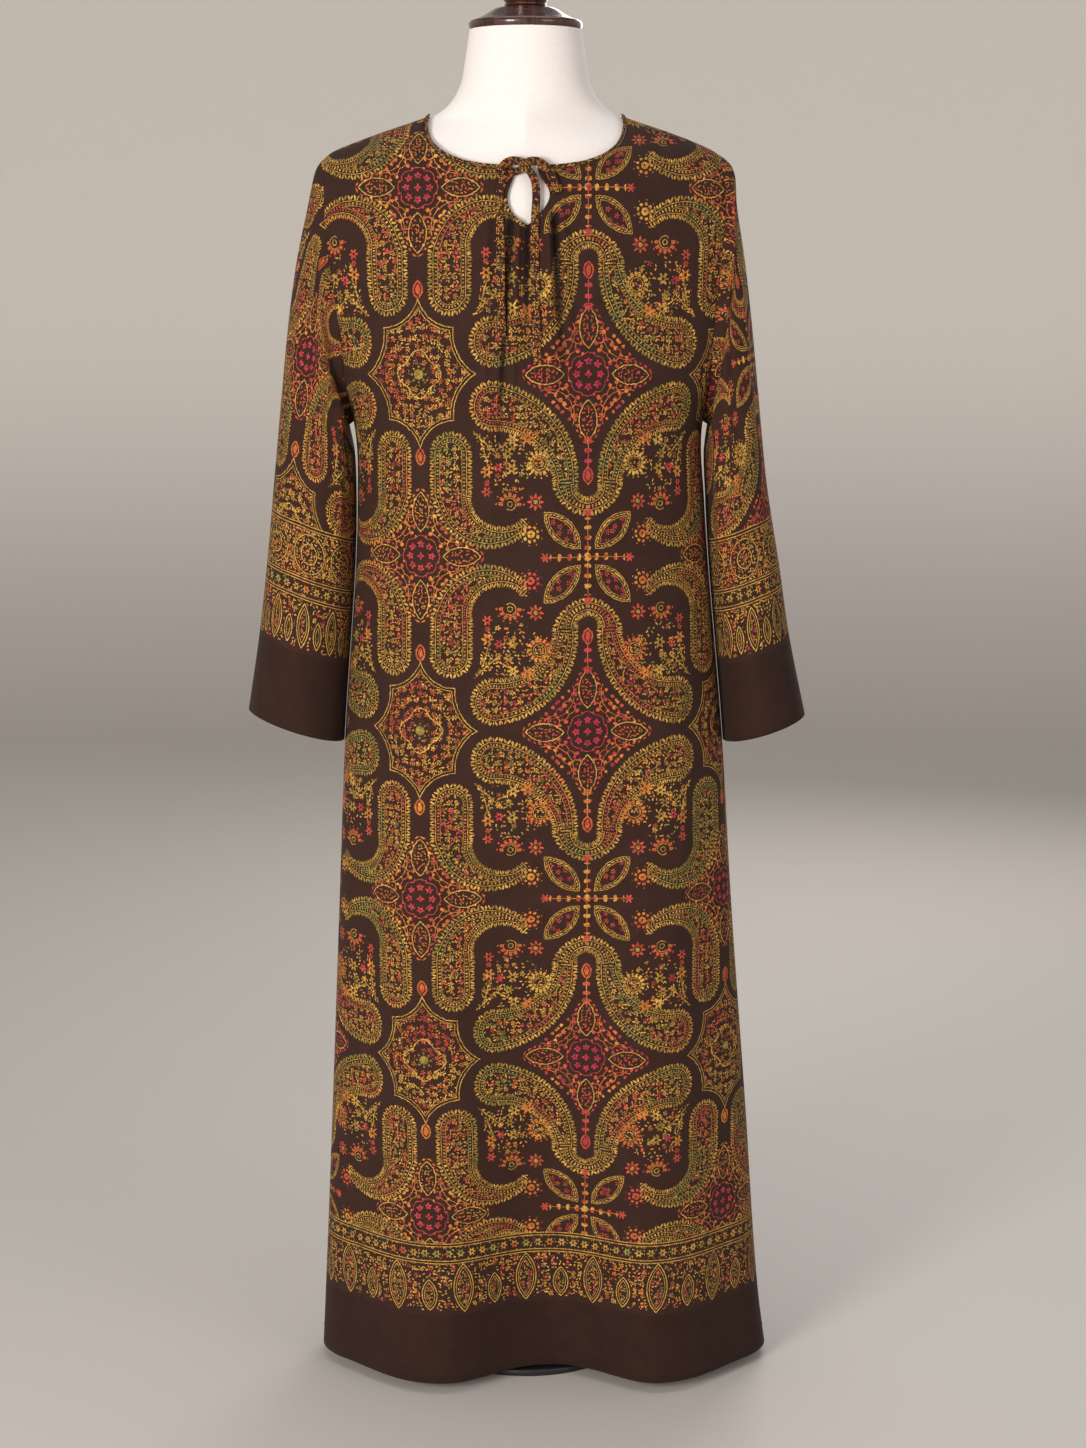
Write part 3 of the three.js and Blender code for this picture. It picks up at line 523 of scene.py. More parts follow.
def panel(name, face, columns, rows, creases):
    """A panel of the body, and its cut: width, length and area."""
    heights = edge_heights(*rows)
    angle, z = panel_places(columns, face, heights)
    u, v = cloth_uv(face, angle, z)
    from_side = np.minimum(np.abs(u - u[:, :1]), np.abs(u - u[:, -1:]))
    side = np.clip(from_side / CREASE_SIDE_FADE, 0, 1)[..., None]
    top = np.clip((NECK_Z - heights)[:, None, None] / CREASE_TOP_FADE, 0, 1)
    points = body_point(angle, z) + body_normal(angle, z) * (creased(u, v, creases)[..., None] * side * top)
    share = SEAM_GAP / 2 / np.linalg.norm(points[:, 1] - points[:, 0], axis=1)[:, None]
    points[:, 0] += (points[:, 1] - points[:, 0]) * share
    points[:, -1] += (points[:, -2] - points[:, -1]) * share
    points[-1] += unit(points[-2] - points[-1]) * SEAM_GAP
    across = u if face == "front" else u + PRINT_SHIFT_BACK
    # painted shade: how deep each point lies in a pinched fold, kept in the 'fold' map for the material to
    # darken
    pinched = creased(u, v, [crease for crease in creases if crease[3] < PINCHED_REACH])
    shadow = np.clip(-pinched / PINCHED_DEPTH, 0, 1) ** 0.8
    faces = grid_faces(len(heights) - 1, columns)
    if face == "back":
        faces = [corners[::-1] for corners in faces]
    piece = new_piece(name, points, faces, {
        "print": np.stack([across, print_height(v + HEM_Z)], axis=-1),
        "border": np.stack([u, v], axis=-1),
        "fold": np.stack([shadow, 0 * shadow], axis=-1)})
    cut = (float(np.ptp(u)), float(np.ptp(v)), cloth_area(piece))
    give_thickness(piece, CLOTH)
    return piece, cut


front, front_cut = panel("front_panel", "front", *FRONT_GRID, FRONT_CREASES)
back, back_cut = panel("back_panel", "back", *BACK_GRID, BACK_CREASES)


def keyhole_cutter():
    """A block through the front with the keyhole's outline."""
    high, low = KEYHOLE[0][0], KEYHOLE[-1][0]
    z = low + (high - low) * np.sin(np.linspace(0, np.pi / 2, 26)) ** 1.6
    left, right = smooth_table(sorted(KEYHOLE))(z)
    x = np.concatenate([left, right[:0:-1]])
    z = np.concatenate([z, z[:0:-1]])
    count = len(x)
    points = [(x[k], GARMENT_Y - ahead, z[k]) for ahead in (0.160, 0.040) for k in range(count)]
    faces = [tuple(range(count)), tuple(range(count, 2 * count))[::-1]]
    faces += [(k, (k + 1) % count, (k + 1) % count + count, k + count) for k in range(count)]
    return points, faces


cutter = new_piece("keyhole_cutter", *keyhole_cutter(), smooth=False)
outward(cutter)
slit = front.modifiers.new("keyhole", "BOOLEAN")
slit.object = cutter
slit.solver = "EXACT"
apply_modifiers(front)
bpy.data.objects.remove(cutter)

# ---------------------------------------------------------------- sleeves
# Two set-in sleeves of the same twill, one piece each with a seam under the arm. No arm fills them: they
# hang flat beside the body from the armhole, widening a little to a cuff with the cloth's plain border.

# outer edge's x and z, inner edge's z, half the depth, clearance from the body's side
SLEEVE_LEFT = [
    (-0.206, 1.335, 1.050, 0.058, 0.0),
    (-0.2228, 1.317, 1.0465, 0.058, 0.0045),
    (-0.2335, 1.279, 1.039, 0.059, 0.0058),
    (-0.243, 1.234, 1.024, 0.060, 0.0036),
    (-0.254, 1.162, 1.000, 0.060, 0.0022),
    (-0.263, 1.080, 0.964, 0.059, 0.0012),
    (-0.2725, 0.985, 0.906, 0.059, 0.0007),
    (-0.2815, 0.896, 0.838, 0.060, 0.0006),
    (-0.291, 0.818, 0.772, 0.062, 0.0006),
    (-0.3034, 0.738, 0.703, 0.066, 0.0006),
]
SLEEVE_RIGHT = [
    (0.202, 1.335, 1.050, 0.058, 0.0),
    (0.2224, 1.318, 1.0465, 0.058, 0.0045),
    (0.2265, 1.279, 1.039, 0.059, 0.0055),
    (0.233, 1.234, 1.024, 0.060, 0.0036),
    (0.242, 1.162, 1.000, 0.060, 0.0022),
    (0.2505, 1.080, 0.964, 0.059, 0.0012),
    (0.2605, 0.985, 0.906, 0.059, 0.0007),
    (0.275, 0.896, 0.838, 0.060, 0.0006),
    (0.287, 0.818, 0.772, 0.062, 0.0006),
    (0.305, 0.732, 0.703, 0.066, 0.0006),
]
SLEEVE_FORWARD = 0.006  # the cuff hangs this far ahead of the armhole
SLEEVE_HEAD = 0.38  # share of the sleeve over which the armhole's shape goes over to the hanging one
SLEEVE_GRID = 130, 120  # rows down the sleeve, columns round it
CUFF_STITCH_ROW = -5
THREAD = 0.0003
# where the print's repeat falls on each sleeve: across, and up from the cuff
PRINT_SHIFT_SLEEVE = {"left_sleeve": (-0.079, 0.029), "right_sleeve": (0.004, 0.029)}

# share of the way round from the inner edge over the front, share down from the armhole to the cuff,
# both as start and end of the crease, then its reach and how far it stands out, in metres
SLEEVE_CREASES_LEFT = [
    (0.16, 0.15, 0.14, 0.80, 0.009, -0.0050),
    (0.27, 0.10, 0.30, 0.92, 0.014, 0.0040),
    (0.36, 0.22, 0.36, 0.70, 0.010, -0.0026),
    (0.08, 0.28, 0.22, 0.44, 0.008, -0.0026),
    (0.10, 0.38, 0.26, 0.52, 0.009, 0.0022),
    (0.66, 0.15, 0.70, 0.85, 0.016, 0.0040),
    (0.78, 0.20, 0.80, 0.70, 0.012, -0.0036),
]
SLEEVE_CREASES_RIGHT = [
    (0.17, 0.18, 0.13, 0.85, 0.009, -0.0046),
    (0.26, 0.08, 0.29, 0.95, 0.014, 0.0036),
    (0.37, 0.20, 0.35, 0.66, 0.011, -0.0028),
    (0.07, 0.30, 0.21, 0.47, 0.008, -0.0024),
    (0.12, 0.42, 0.25, 0.56, 0.009, 0.0020),
    (0.65, 0.12, 0.69, 0.85, 0.016, 0.0040),
    (0.79, 0.20, 0.81, 0.74, 0.012, -0.0034),
]


def armhole_ring(left_side, count):
    """The armhole's outline from the underarm over the front to the shoulder tip and down the back."""
    steps = np.concatenate([np.linspace(0, 1, count + 1), np.linspace(1, 0, count + 1)[1:-1]])
    heights = UNDERARM_Z + (TIP_Z - UNDERARM_Z) * (1 - np.cos(np.pi * steps)) / 2
    front_inset, back_inset = np.radians(armhole_at(heights))
    angle = np.where(np.arange(2 * count) <= count, front_inset, -back_inset)
    return body_point(angle if left_side else np.pi - angle, heights)


def sleeve(name, rows, left_side, steps, sides, creases):
    """A sleeve, its cut, and the line of its cuff's stitches."""
    table = np.array(rows)
    share = np.linspace(0, 1, steps + 1)
    outer_x, outer_z, inner_z, depth, clear = smooth_table(
        np.column_stack([np.linspace(0, 1, len(rows)), table]))(share)
    section = body_section(inner_z)
    inner_x = section[0] - clear if left_side else section[1] + clear
    middle_x, middle_z = (outer_x + inner_x) / 2, (outer_z + inner_z) / 2
    start = armhole_ring(left_side, sides // 2)
    turn = 2 * np.pi * np.arange(sides) / sides
    p = np.clip(share / SLEEVE_HEAD, 0, 1)
    settled = (p * p * (3 - 2 * p))[:, None, None]
    oval = np.stack([
        middle_x[:, None] + (inner_x - outer_x)[:, None] / 2 * np.cos(turn),
        GARMENT_Y - SLEEVE_FORWARD * share[:, None] - depth[:, None] * np.sin(turn),
        middle_z[:, None] + (inner_z - outer_z)[:, None] / 2 * np.cos(turn)], axis=-1)
    first_x = (outer_x[0] + (-1 if left_side else 1) * abs(start[0, 0])) / 2
    first_z = (outer_z[0] + inner_z[0]) / 2
    shift = np.stack([middle_x - first_x, 0 * share, middle_z - first_z], axis=-1)
    shift[0] = 0
    armhole = start[None] + shift[:, None]
    points = armhole + (oval - armhole) * settled
    around = unit(np.roll(points, -1, axis=1) - np.roll(points, 1, axis=1))
    down = np.gradient(points, axis=0)
    normals = unit(np.cross(around, down)) * (-1 if left_side else 1)

    # flat cloth: round the sleeve from the middle of its front, and up from the cuff
    step_round = np.linalg.norm(np.roll(points, -1, axis=1) - points, axis=2)
    girth = np.concatenate([np.zeros((steps + 1, 1)), np.cumsum(step_round, axis=1)], axis=1)
    quarter = sides // 4
    u = girth - girth[:, quarter:quarter + 1]
    step_down = np.linalg.norm(np.diff(points, axis=0), axis=2)
    from_cuff = np.concatenate([np.cumsum(step_down[::-1], axis=0)[::-1], np.zeros((1, sides))], axis=0)
    from_cuff = np.concatenate([from_cuff, from_cuff[:, :1]], axis=1)

    ring = np.concatenate([np.linspace(0, 1, sides, endpoint=False), [1]])
    out = np.zeros((steps + 1, sides))
    for place, begin, end_place, end, reach, height in creases:
        along = np.clip((share - begin) / (end - begin), 0, 1)
        centre = place + (end_place - place) * along
        off = (ring[None, :sides] - centre[:, None]) * girth[:, -1:] / reach
        out += height * (np.sin(np.pi * along) ** 0.8)[:, None] * np.exp(-off**2)
    points = points + normals * out[..., None]
    points[0] += unit(points[1] - points[0]) * SEAM_GAP / 2

    # the seam lies at both ends of the flat cloth's girth, so the maps are filled corner by corner
    shift_across, shift_up = PRINT_SHIFT_SLEEVE[name]
    sign = -1 if left_side else 1
    order = [(0, 0), (0, 1), (1, 1), (1, 0)][::-sign]
    faces = [face[::-sign] for face in grid_faces(steps, sides, closed=True)]
    piece = new_piece(name, points, faces)
    row_at, column_at = np.repeat(np.arange(steps), sides), np.tile(np.arange(sides), steps)
    for layer_name, across, up in (("print", sign * u + shift_across, from_cuff - shift_up),
                                   ("border", u, from_cuff)):
        uv = np.stack([across, up], axis=-1)
        corners = np.stack([uv[row_at + down, column_at + over] for down, over in order], axis=1)
        layer = piece.data.uv_layers.new(name=layer_name)
        layer.data.foreach_set("uv", corners.astype(np.float32).ravel())
    cut = (float(girth[:, -1].max()), float(from_cuff.max()), cloth_area(piece))
    give_thickness(piece, CLOTH)
    return piece, cut, points[CUFF_STITCH_ROW] + normals[CUFF_STITCH_ROW] * THREAD / 3


left_sleeve, left_cut, left_cuff_line = sleeve(
    "left_sleeve", SLEEVE_LEFT, True, *SLEEVE_GRID, SLEEVE_CREASES_LEFT)
right_sleeve, right_cut, right_cuff_line = sleeve(
    "right_sleeve", SLEEVE_RIGHT, False, *SLEEVE_GRID, SLEEVE_CREASES_RIGHT)

for cloth_piece, cloth_node in [(front, "kaftan_front"), (back, "kaftan_back"),
                                (left_sleeve, "sleeve_left"), (right_sleeve, "sleeve_right")]:
    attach(cloth_piece, "root")
    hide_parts(cloth_node)

# ---------------------------------------------------------------- neck binding
# A bias strip of the same twill, folded over the neck's raw edge and stitched down. It runs from one side
# of the keyhole round the back to the other, standing a little upright against the form's neck.

BINDING_WIDTH = 0.005
BINDING_THICKNESS = 0.0022
BINDING_PROUD = 0.0004  # how far it stands out from the cloth
BINDING_UPRIGHT = 0.9
BINDING_MARGIN = 0.001
BINDING_SIDES = 14
BINDING_EVENED = 41  # its lean is averaged over this many points along the neck


def neck_line(face, count):
    """The neck's edge on one panel: points, directions up the cloth and outward normals."""
    share = np.linspace(0, 1, count)
    depth = NECK_DEPTH[face]
    angle, z = neck_edge(share, depth)
    below_angle, below_z = panel_places(count - 1, face, np.array([NECK_Z - 0.009]))
    side = 1 if face == "front" else -1
    points = body_point(side * angle, z)
    up = unit(points - body_point(below_angle[0], below_z[0]))
    return points, up, body_normal(side * angle, z)


def evened(field):
    """Directions along a line, averaged over their neighbours."""
    kernel = np.ones(BINDING_EVENED) / BINDING_EVENED
    padded = np.pad(field, ((BINDING_EVENED // 2,) * 2, (0, 0)), mode="edge")
    return unit(np.stack([np.convolve(column, kernel, mode="valid") for column in padded.T], axis=1))


def neck_binding():
    """The binding, its line on the cloth, and the directions up it and out of it."""
    front_line, back_line = neck_line("front", 241), neck_line("back", 161)
    x = front_line[0][:, 0]
    right = x > KEYHOLE[0][2] + BINDING_MARGIN
    left = x < KEYHOLE[0][1] - BINDING_MARGIN
    base, up, normal = [np.concatenate([front_part[right], back_part[1:-1][::-1], front_part[left]])
                        for front_part, back_part in zip(front_line, back_line)]
    up, normal = evened(unit(up + np.array([0, 0, BINDING_UPRIGHT]))), evened(normal)
    normal = unit(np.cross(up, unit(np.cross(normal, up))))
    turn = 2 * np.pi * np.arange(BINDING_SIDES) / BINDING_SIDES
    height = BINDING_WIDTH / 2 + spow(np.sin(turn), 0.8) * BINDING_WIDTH / 2
    out = BINDING_PROUD - BINDING_THICKNESS / 2 + spow(np.cos(turn), 0.7) * BINDING_THICKNESS / 2
    rings = base[:, None] + up[:, None] * height[:, None] + normal[:, None] * out[:, None]
    runs = np.concatenate([[0], np.cumsum(np.linalg.norm(np.diff(base, axis=0), axis=1))])[:, None]
    uv = np.stack([runs + 0 * height, height + out + 0 * runs], axis=-1)
    return closed_solid("neck_binding_strip", rings, {"print": uv}), base, up, normal


binding, binding_base, binding_up, binding_normal = neck_binding()
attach(binding, "root")
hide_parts("neck_binding")

# ---------------------------------------------------------------- the printed cloth
# Fine wool-touch twill, dark brown, printed in the way of a woven shawl: rows of paisleys with leafy edges,
# stars, lozenges, four-petalled flowers and sprays, and at hem and cuffs a border above a plain band.

# inks from cool to warm, as red, green and blue of 255
INKS = [
    (0.00, (128, 182, 104)),
    (0.14, (166, 180, 88)),
    (0.28, (182, 150, 64)),
    (0.42, (220, 168, 74)),
    (0.55, (246, 196, 92)),
    (0.68, (238, 142, 62)),
    (0.80, (222, 98, 62)),
    (0.90, (228, 82, 78)),
    (1.00, (218, 56, 92)),
]
GROUND = (56, 36, 30)
PLAIN_BAND = (50, 32, 26)
# the colour of the painted shade down in the pinched folds
FOLD_SHADE = (24, 14, 11)
TWILL_PITCH = 1.6
TWILL_SLANT = math.radians(-58)

# The print is drawn in millimetres of flat cloth. One quarter of its repeat is worked out, across and up
# from the middle of a four-petalled flower, and mirrored into the other three.
ACROSS, UP = 178.5, 183.5  # half the repeat
FLOWER_COLUMN = 66.0
MILLIMETRES = 1000
WOBBLE, WOBBLE_SIZE = 1.5, 4.0  # how far the drawn line strays, and over what length
LEAF_NET, FLOWER_NET = 4.0, 8.4  # one small leaf or flower in each cell of this size
STRIP_LEAF_NET, STRIP_FLOWER_NET = 3.0, 6.0
LEAF_THIN = 2.5
# the two paisleys: the middles that their parts turn about, and how far out those parts lie
HEAD_AT, HEAD_SIZE = (99, 152), 19.5
BODY_AT, BODY_TURN = (103, 72), 80
TAIL_AT, TAIL_TURN = (0, 76), 25
HOOK_AT, HOOK_TURN = (98, 66), 46
UPRIGHT_AT, UPRIGHT_HALF = (144.7, 104), 17
# buds on a lozenge's stems: across, up and radius, the same in each of its eighths; then its heart's flowers
LOZENGE_BUDS = [
    (23, 11, 2.2), (29, 25, 2.4), (34, 19, 2.0), (30, 8, 1.8), (41, 16, 2.1), (44, 20, 1.6), (37, 27, 1.9),
    (27, 14, 1.3), (33, 31, 1.7), (51, 10.5, 1.6), (22, 22, 1.6), (58, 6.5, 1.5), (20, 6, 1.3),
]
HEART_FLOWERS = [(0, 0), (12.5, 0), (9.6, 9.6)]
# large blossoms in the bays between the paisleys
ROSETTE_AT, FAN_AT, SCROLL_AT, BLOSSOM_AT = (55, 57), (82, 54), (51, 96), (60, 24)
PETAL_AT = (27, 27.5)
# across, up, radius and warmth; then the stems: middle, lean and half length
SPRAY_FLOWERS = [
    (79, 119, 6.6, 0.5), (80, 90, 6.4, 0.36), (94, 91, 5.2, 0.92), (106, 86, 6.6, 0.66), (84, 105, 5.4, 0.28),
    (64, 121, 7.6, 0.7), (106, 66, 5.6, 0.84), (106, 75, 3.4, 0.84), (95, 103, 3.6, 0.6),
]
SPRAY_STEMS = [(106, 114, 0.733, 20), (90, 112, 2.63, 10), (108, 104, 1.30, 15)]


def linear(color):
    """A colour of 255 in the render's own linear measure, with full cover."""
    share = np.array(color) / 255
    light = np.where(share <= 0.04045, share / 12.92, ((share + 0.055) / 1.055) ** 2.4)
    return (*(float(part) for part in light), 1)


def feed(node, values):
    """Fills a node's inputs, in order or by key, by link or by value."""
    for key, value in values.items() if isinstance(values, dict) else enumerate(values):
        if isinstance(value, (Number, Place)):
            value = value.socket
        if isinstance(value, bpy.types.NodeSocket):
            node.id_data.links.new(value, node.inputs[key])
        else:
            node.inputs[key].default_value = value
    return node


def new_node(tree, kind, values=(), **settings):
    node = tree.nodes.new(kind)
    for name, value in settings.items():
        setattr(node, name, value)
    return feed(node, values)


def new_material(name):
    """A material, its node tree and its shader."""
    material = bpy.data.materials.new(name)
    material.use_nodes = True
    return material, material.node_tree, material.node_tree.nodes["Principled BSDF"]


class Number:
    """A number that a material works out at each place of the cloth, in its nodes."""

    def __init__(self, tree, socket):
        self.tree, self.socket = tree, socket

    def made(self, operation, *others):
        node = new_node(self.tree, "ShaderNodeMath", (self, *others), operation=operation)
        return Number(self.tree, node.outputs[0])

    def __add__(self, other):
        return self.made("ADD", other)

    __radd__ = __add__

    def __sub__(self, other):
        return self.made("SUBTRACT", other)

    def __rsub__(self, other):
        return self.made("MULTIPLY_ADD", -1.0, other)

    def __mul__(self, other):
        return self.made("MULTIPLY", other)

    def __lt__(self, other):
        return self.made("LESS_THAN", other)

    def __gt__(self, other):
        return self.made("GREATER_THAN", other)

    def near(self, other, reach):
        return self.made("COMPARE", other, reach)

    def least(self, other):
        return self.made("MINIMUM", other)

    def most(self, other):
        return self.made("MAXIMUM", other)

    def size(self):
        return self.made("ABSOLUTE")

    def scaled(self, by, plus):
        return self.made("MULTIPLY_ADD", by, plus)

    def folded(self, half):
        """Runs 0 to half and back again, over and over."""
        return self.made("PINGPONG", half)

    def ranged(self, low, high, to_low, to_high):
        """Runs from to_low to to_high while this runs from low to high, and no further."""
        node = new_node(self.tree, "ShaderNodeMapRange", (self, low, high, to_low, to_high))
        return Number(self.tree, node.outputs[0])

    def toward(self, other, share):
        """This number where share is 0, the other where it is 1."""
        node = new_node(self.tree, "ShaderNodeMix", {0: share, 2: self, 3: other}, data_type="FLOAT")
        return Number(self.tree, node.outputs[0])


class Place:
    """A place that a material works out in its nodes, across and up."""

    def __init__(self, tree, socket, parts=None):
        self.tree, self.socket, self.parts = tree, socket, parts

    @classmethod
    def joined(cls, across, up):
        node = new_node(across.tree, "ShaderNodeCombineXYZ", (across, up))
        return cls(across.tree, node.outputs[0], (across, up))

    def made(self, operation, other):
        node = new_node(self.tree, "ShaderNodeVectorMath", (self, other), operation=operation)
        return Place(self.tree, node.outputs[0])

    def shifted(self, across, up):
        return self.made("ADD", (across, up, 0))

    def times(self, across, up):
        return self.made("MULTIPLY", (across, up, 1))

    def away(self, across=0.0, up=0.0):
        """How far it is from a fixed place."""
        node = new_node(self.tree, "ShaderNodeVectorMath", (self, (across, up, 0)), operation="DISTANCE")
        return Number(self.tree, node.outputs["Value"])

    def turned(self, angle):
        node = new_node(
            self.tree, "ShaderNodeVectorRotate", {"Vector": self, "Angle": angle}, rotation_type="Z_AXIS")
        return Place(self.tree, node.outputs[0])

    def split(self):
        if self.parts is None:
            node = new_node(self.tree, "ShaderNodeSeparateXYZ", (self,))
            self.parts = Number(self.tree, node.outputs[0]), Number(self.tree, node.outputs[1])
        return self.parts

    def bearing(self, across=0.0, up=0.0):
        """The angle round a fixed place."""
        x, y = self.split()
        return (y - up).made("ARCTAN2", x - across)


def almond(place, across, up, angle, length, width):
    """How far a place is outside a pointed leaf shape."""
    reach = (length**2 + width**2) / (2 * width)
    x, y = place.split()
    x, y = x - across, y - up
    along = x * math.cos(angle) + y * math.sin(angle)
    aside = y * math.cos(angle) - x * math.sin(angle)
    return Place.joined(along, aside.size() + (reach - width)).away() - reach


def petalled(distance, bearing, petals, radius, depth):
    """1 within a small flower with round petals."""
    return distance < (bearing * petals).made("COSINE").scaled(depth, radius - depth)


def flower(place, at, petals, radius, depth):
    """1 within a flower at a fixed place, and how far it is from the flower's middle."""
    distance = place.away(*at)
    return petalled(distance, place.bearing(*at), petals, radius, depth), distance


def leafy_edge(outside, along, pitch, reach):
    """Pairs of small leaves that stand out from an outline."""
    lean = along.folded(pitch / 2) - outside.scaled(0.26, 0.55)
    off = outside - (reach / 2 + 1.0)
    swell = (off * off).scaled(-0.95 / (reach / 2) ** 2, 0.95)
    return lean.size() < swell


class Inks:
    """Inks laid one over the other: where there is ink, and how warm it is."""

    def __init__(self, ink, warmth):
        self.ink, self.warmth = ink, warmth

    def lay(self, where, warmth):
        self.warmth = self.warmth.toward(warmth, where)
        self.ink = self.ink.most(where)

    def lines(self, outside, *lines):
        """Fine lines along an outline: how far out of it, half the width, and warmth of each."""
        for out, half, warmth in lines:
            self.lay(outside.near(out, half), warmth)

    def clear(self, where):
        self.ink = self.ink.made("SUBTRACT", where).most(0.0)


def uneven_net(place, size, unevenness):
    """A net of uneven cells: where a place is from its cell's middle, and the cell's chance numbers."""
    tree = place.tree
    net = new_node(tree, "ShaderNodeTexVoronoi", voronoi_dimensions="2D")
    feed(net, {"Vector": place, "Scale": 1 / size, "Randomness": unevenness})
    chance = new_node(tree, "ShaderNodeSeparateColor", (net.outputs["Color"],))
    return place.made("SUBTRACT", net.outputs["Position"]), [Number(tree, part) for part in chance.outputs]


def small_leaves(place, size):
    """Leaves turned every way, one in each cell of an uneven net; also a chance number for each."""
    local, chance = uneven_net(place, size, 0.75)
    leaf = local.turned(chance[0] * 6.3).times(1, LEAF_THIN)
    return leaf.away() < size * 0.44, chance[1]


def small_flowers(place, size):
    """Five-petalled flowers with a ring and an eye, one in each cell of an uneven net."""
    local, chance = uneven_net(place, size, 0.6)
    distance = local.away()
    bloom = petalled(distance, local.bearing(), 5.0, size * 0.36, size * 0.10)
    eye = distance.near(size * 0.13, size * 0.035)
    return bloom * (1.0 - eye), chance[0]


def noise_node(place, size, detail=1.0):
    return new_node(place.tree, "ShaderNodeTexNoise", {"Vector": place, "Scale": 1 / size, "Detail": detail},
                    noise_dimensions="2D")


def noise(place, size, detail=1.0):
    return Number(place.tree, noise_node(place, size, detail).outputs[0])


def paisley_ground(folded, drift, leaves, flowers, leaf_chance, flower_chance):
    """The rows of paisleys and all that stands between them."""
    a, b = folded.split()

    # two paisleys: a head, a body along an arc, and a tail that runs out thin
    head = folded.away(*HEAD_AT) - HEAD_SIZE
    turn = Place.joined(BODY_AT[0] - a, BODY_AT[1] - b).bearing()
    body = (folded.away(*BODY_AT) - BODY_TURN).size() - turn.ranged(-1.52, -0.04, 19.5, 7.0)
    body = body.most(a - HEAD_AT[0]).most(74.0 - b)
    tail = (folded.away(*TAIL_AT) - TAIL_TURN).size() - b.ranged(TAIL_AT[1] - TAIL_TURN, TAIL_AT[1], 3.0, 7.0)
    tail = tail.most(b - TAIL_AT[1])
    first = head.least(body).least(tail)
    along = (turn * BODY_TURN).toward(folded.bearing(*HEAD_AT) * HEAD_SIZE, head < body)
    along = along.toward(folded.bearing(*TAIL_AT) * TAIL_TURN, b < 75)

    middle = b.most(HOOK_AT[1]).least(UPRIGHT_AT[1])
    upright = Place.joined(a - UPRIGHT_AT[0], b - middle).away() - UPRIGHT_HALF
    swing = folded.bearing(*HOOK_AT)
    hook = (folded.away(*HOOK_AT) - HOOK_TURN).size() - swing.ranged(-2.1, 0, 2.0, 16.5)
    hook = hook.most(b - HOOK_AT[1]).most(70.0 - a)
    hook = hook.most(((b > 40) * (a < 86)).scaled(109, -100))  # the hook ends short of its own beginning
    second = upright.least(hook)
    across_two = b.toward(swing * HOOK_TURN, b < HOOK_AT[1])
    across_two = across_two.toward(folded.bearing(*UPRIGHT_AT) * UPRIGHT_HALF, b > UPRIGHT_AT[1])

    outside = first.least(second)
    along = along.toward(across_two, second < first)

    inks = Inks(leafy_edge(outside, along, 6.2, 5.4), drift.scaled(0.34, 0.14) + leaf_chance * 0.24)
    fill = (leaves * (leaf_chance > 0.2)).most(flowers)
    deep = outside < -5.6
    fill_warmth = drift.scaled(0.44, -0.10) + leaf_chance * 0.70
    fill_warmth = fill_warmth.toward(flower_chance.scaled(0.72, 0.16) + drift * 0.12, flowers)
    inks.lay(deep * fill, fill_warmth)
    inks.lay(outside.near(-2.6, 1.1) * (along.folded(1.9) < 0.8), drift.scaled(0.8, 0.1))
    inks.lines(outside, (0.2, 0.36, 0.46), (-4.8, 0.30, 0.40))
    free = outside > 6.8
    bay = (folded.away(80, 101) < 34) * (outside > 8.0)
    inks.lay(bay * leaves * (leaf_chance > 0.62), leaf_chance.scaled(1.6, -0.85))
    inks.lay(bay * flowers * (flower_chance > 0.82), flower_chance.scaled(3.0, -2.1))

    # lozenges: a flowery heart, four pointed leaves, curling stems; the same at two corners of the repeat
    at_flowers = (a * (1 / ACROSS)) < (b * (1 / UP))
    x = (ACROSS - a).toward(a, at_flowers)
    y = b.toward(UP - b, at_flowers)
    lozenge = Place.joined(x, y)
    far, close = x.most(y), x.least(y)
    from_heart = lozenge.away()
    around = lozenge.bearing()
    heart = from_heart - (around * 4.0).made("COSINE").size().scaled(2.4, 19.0)
    leaf_tip = Place.joined(far - 45.5, close + 16.6).away() - 26.1
    spread = (x + y) - 66.0
    rose = at_flowers.ranged(0, 1, 0.88, 0.96) - from_heart.ranged(20, 66, 0.0, 0.22) * drift
    eighth = Place.joined(far, close)
    curls = eighth.away(41, 41).near(26.5, 0.36).most(eighth.away(27, 20).near(7.0, 0.36))
    curls = curls.most(eighth.away(36, 12).near(6.0, 0.36))
    inks.lay(curls * (spread < 0) * free, rose - 0.2)
    bud_warmth = rose + 0.08 - leaf_chance * 0.34
    for x_at, y_at, radius in LOZENGE_BUDS:
        inks.lay((eighth.away(x_at, y_at) < radius) * free, bud_warmth)
    for heart_at in HEART_FLOWERS:
        bloom, distance = flower(eighth, heart_at, 5.0, 4.1, 1.0)
        inks.lay(bloom * (distance > 0.9), rose + 0.06)
    inks.lay(heart.near(0, 0.42), rose)
    inks.clear((leaf_tip < 0) * (1.0 - leaves))
    inks.lay((leaf_tip < -2.5) * leaves, rose - 0.2 + leaf_chance * 0.2)
    inks.lay(leaf_tip.near(0, 0.5), 0.52)
    inks.lay(leaf_tip.near(3.6, 1.0) * (from_heart.folded(2.6) < 1.2) * (from_heart > 30), rose)
    stem = at_flowers * (y > 62) * (y < 96)
    inks.lay(stem * (x < 0.45), rose - 0.2)
    inks.lay(stem * (Place.joined(x, y.folded(5.4)).away(2.0, 0) < 2.1), rose)
    bud = almond(lozenge, 0, 101, math.pi / 2, 9.5, 6.0)
    inks.clear(bud < 0)
    inks.lay((bud < 0) * ((bud < -3.4).most(bud.near(-1.2, 0.9))), rose - 0.05)

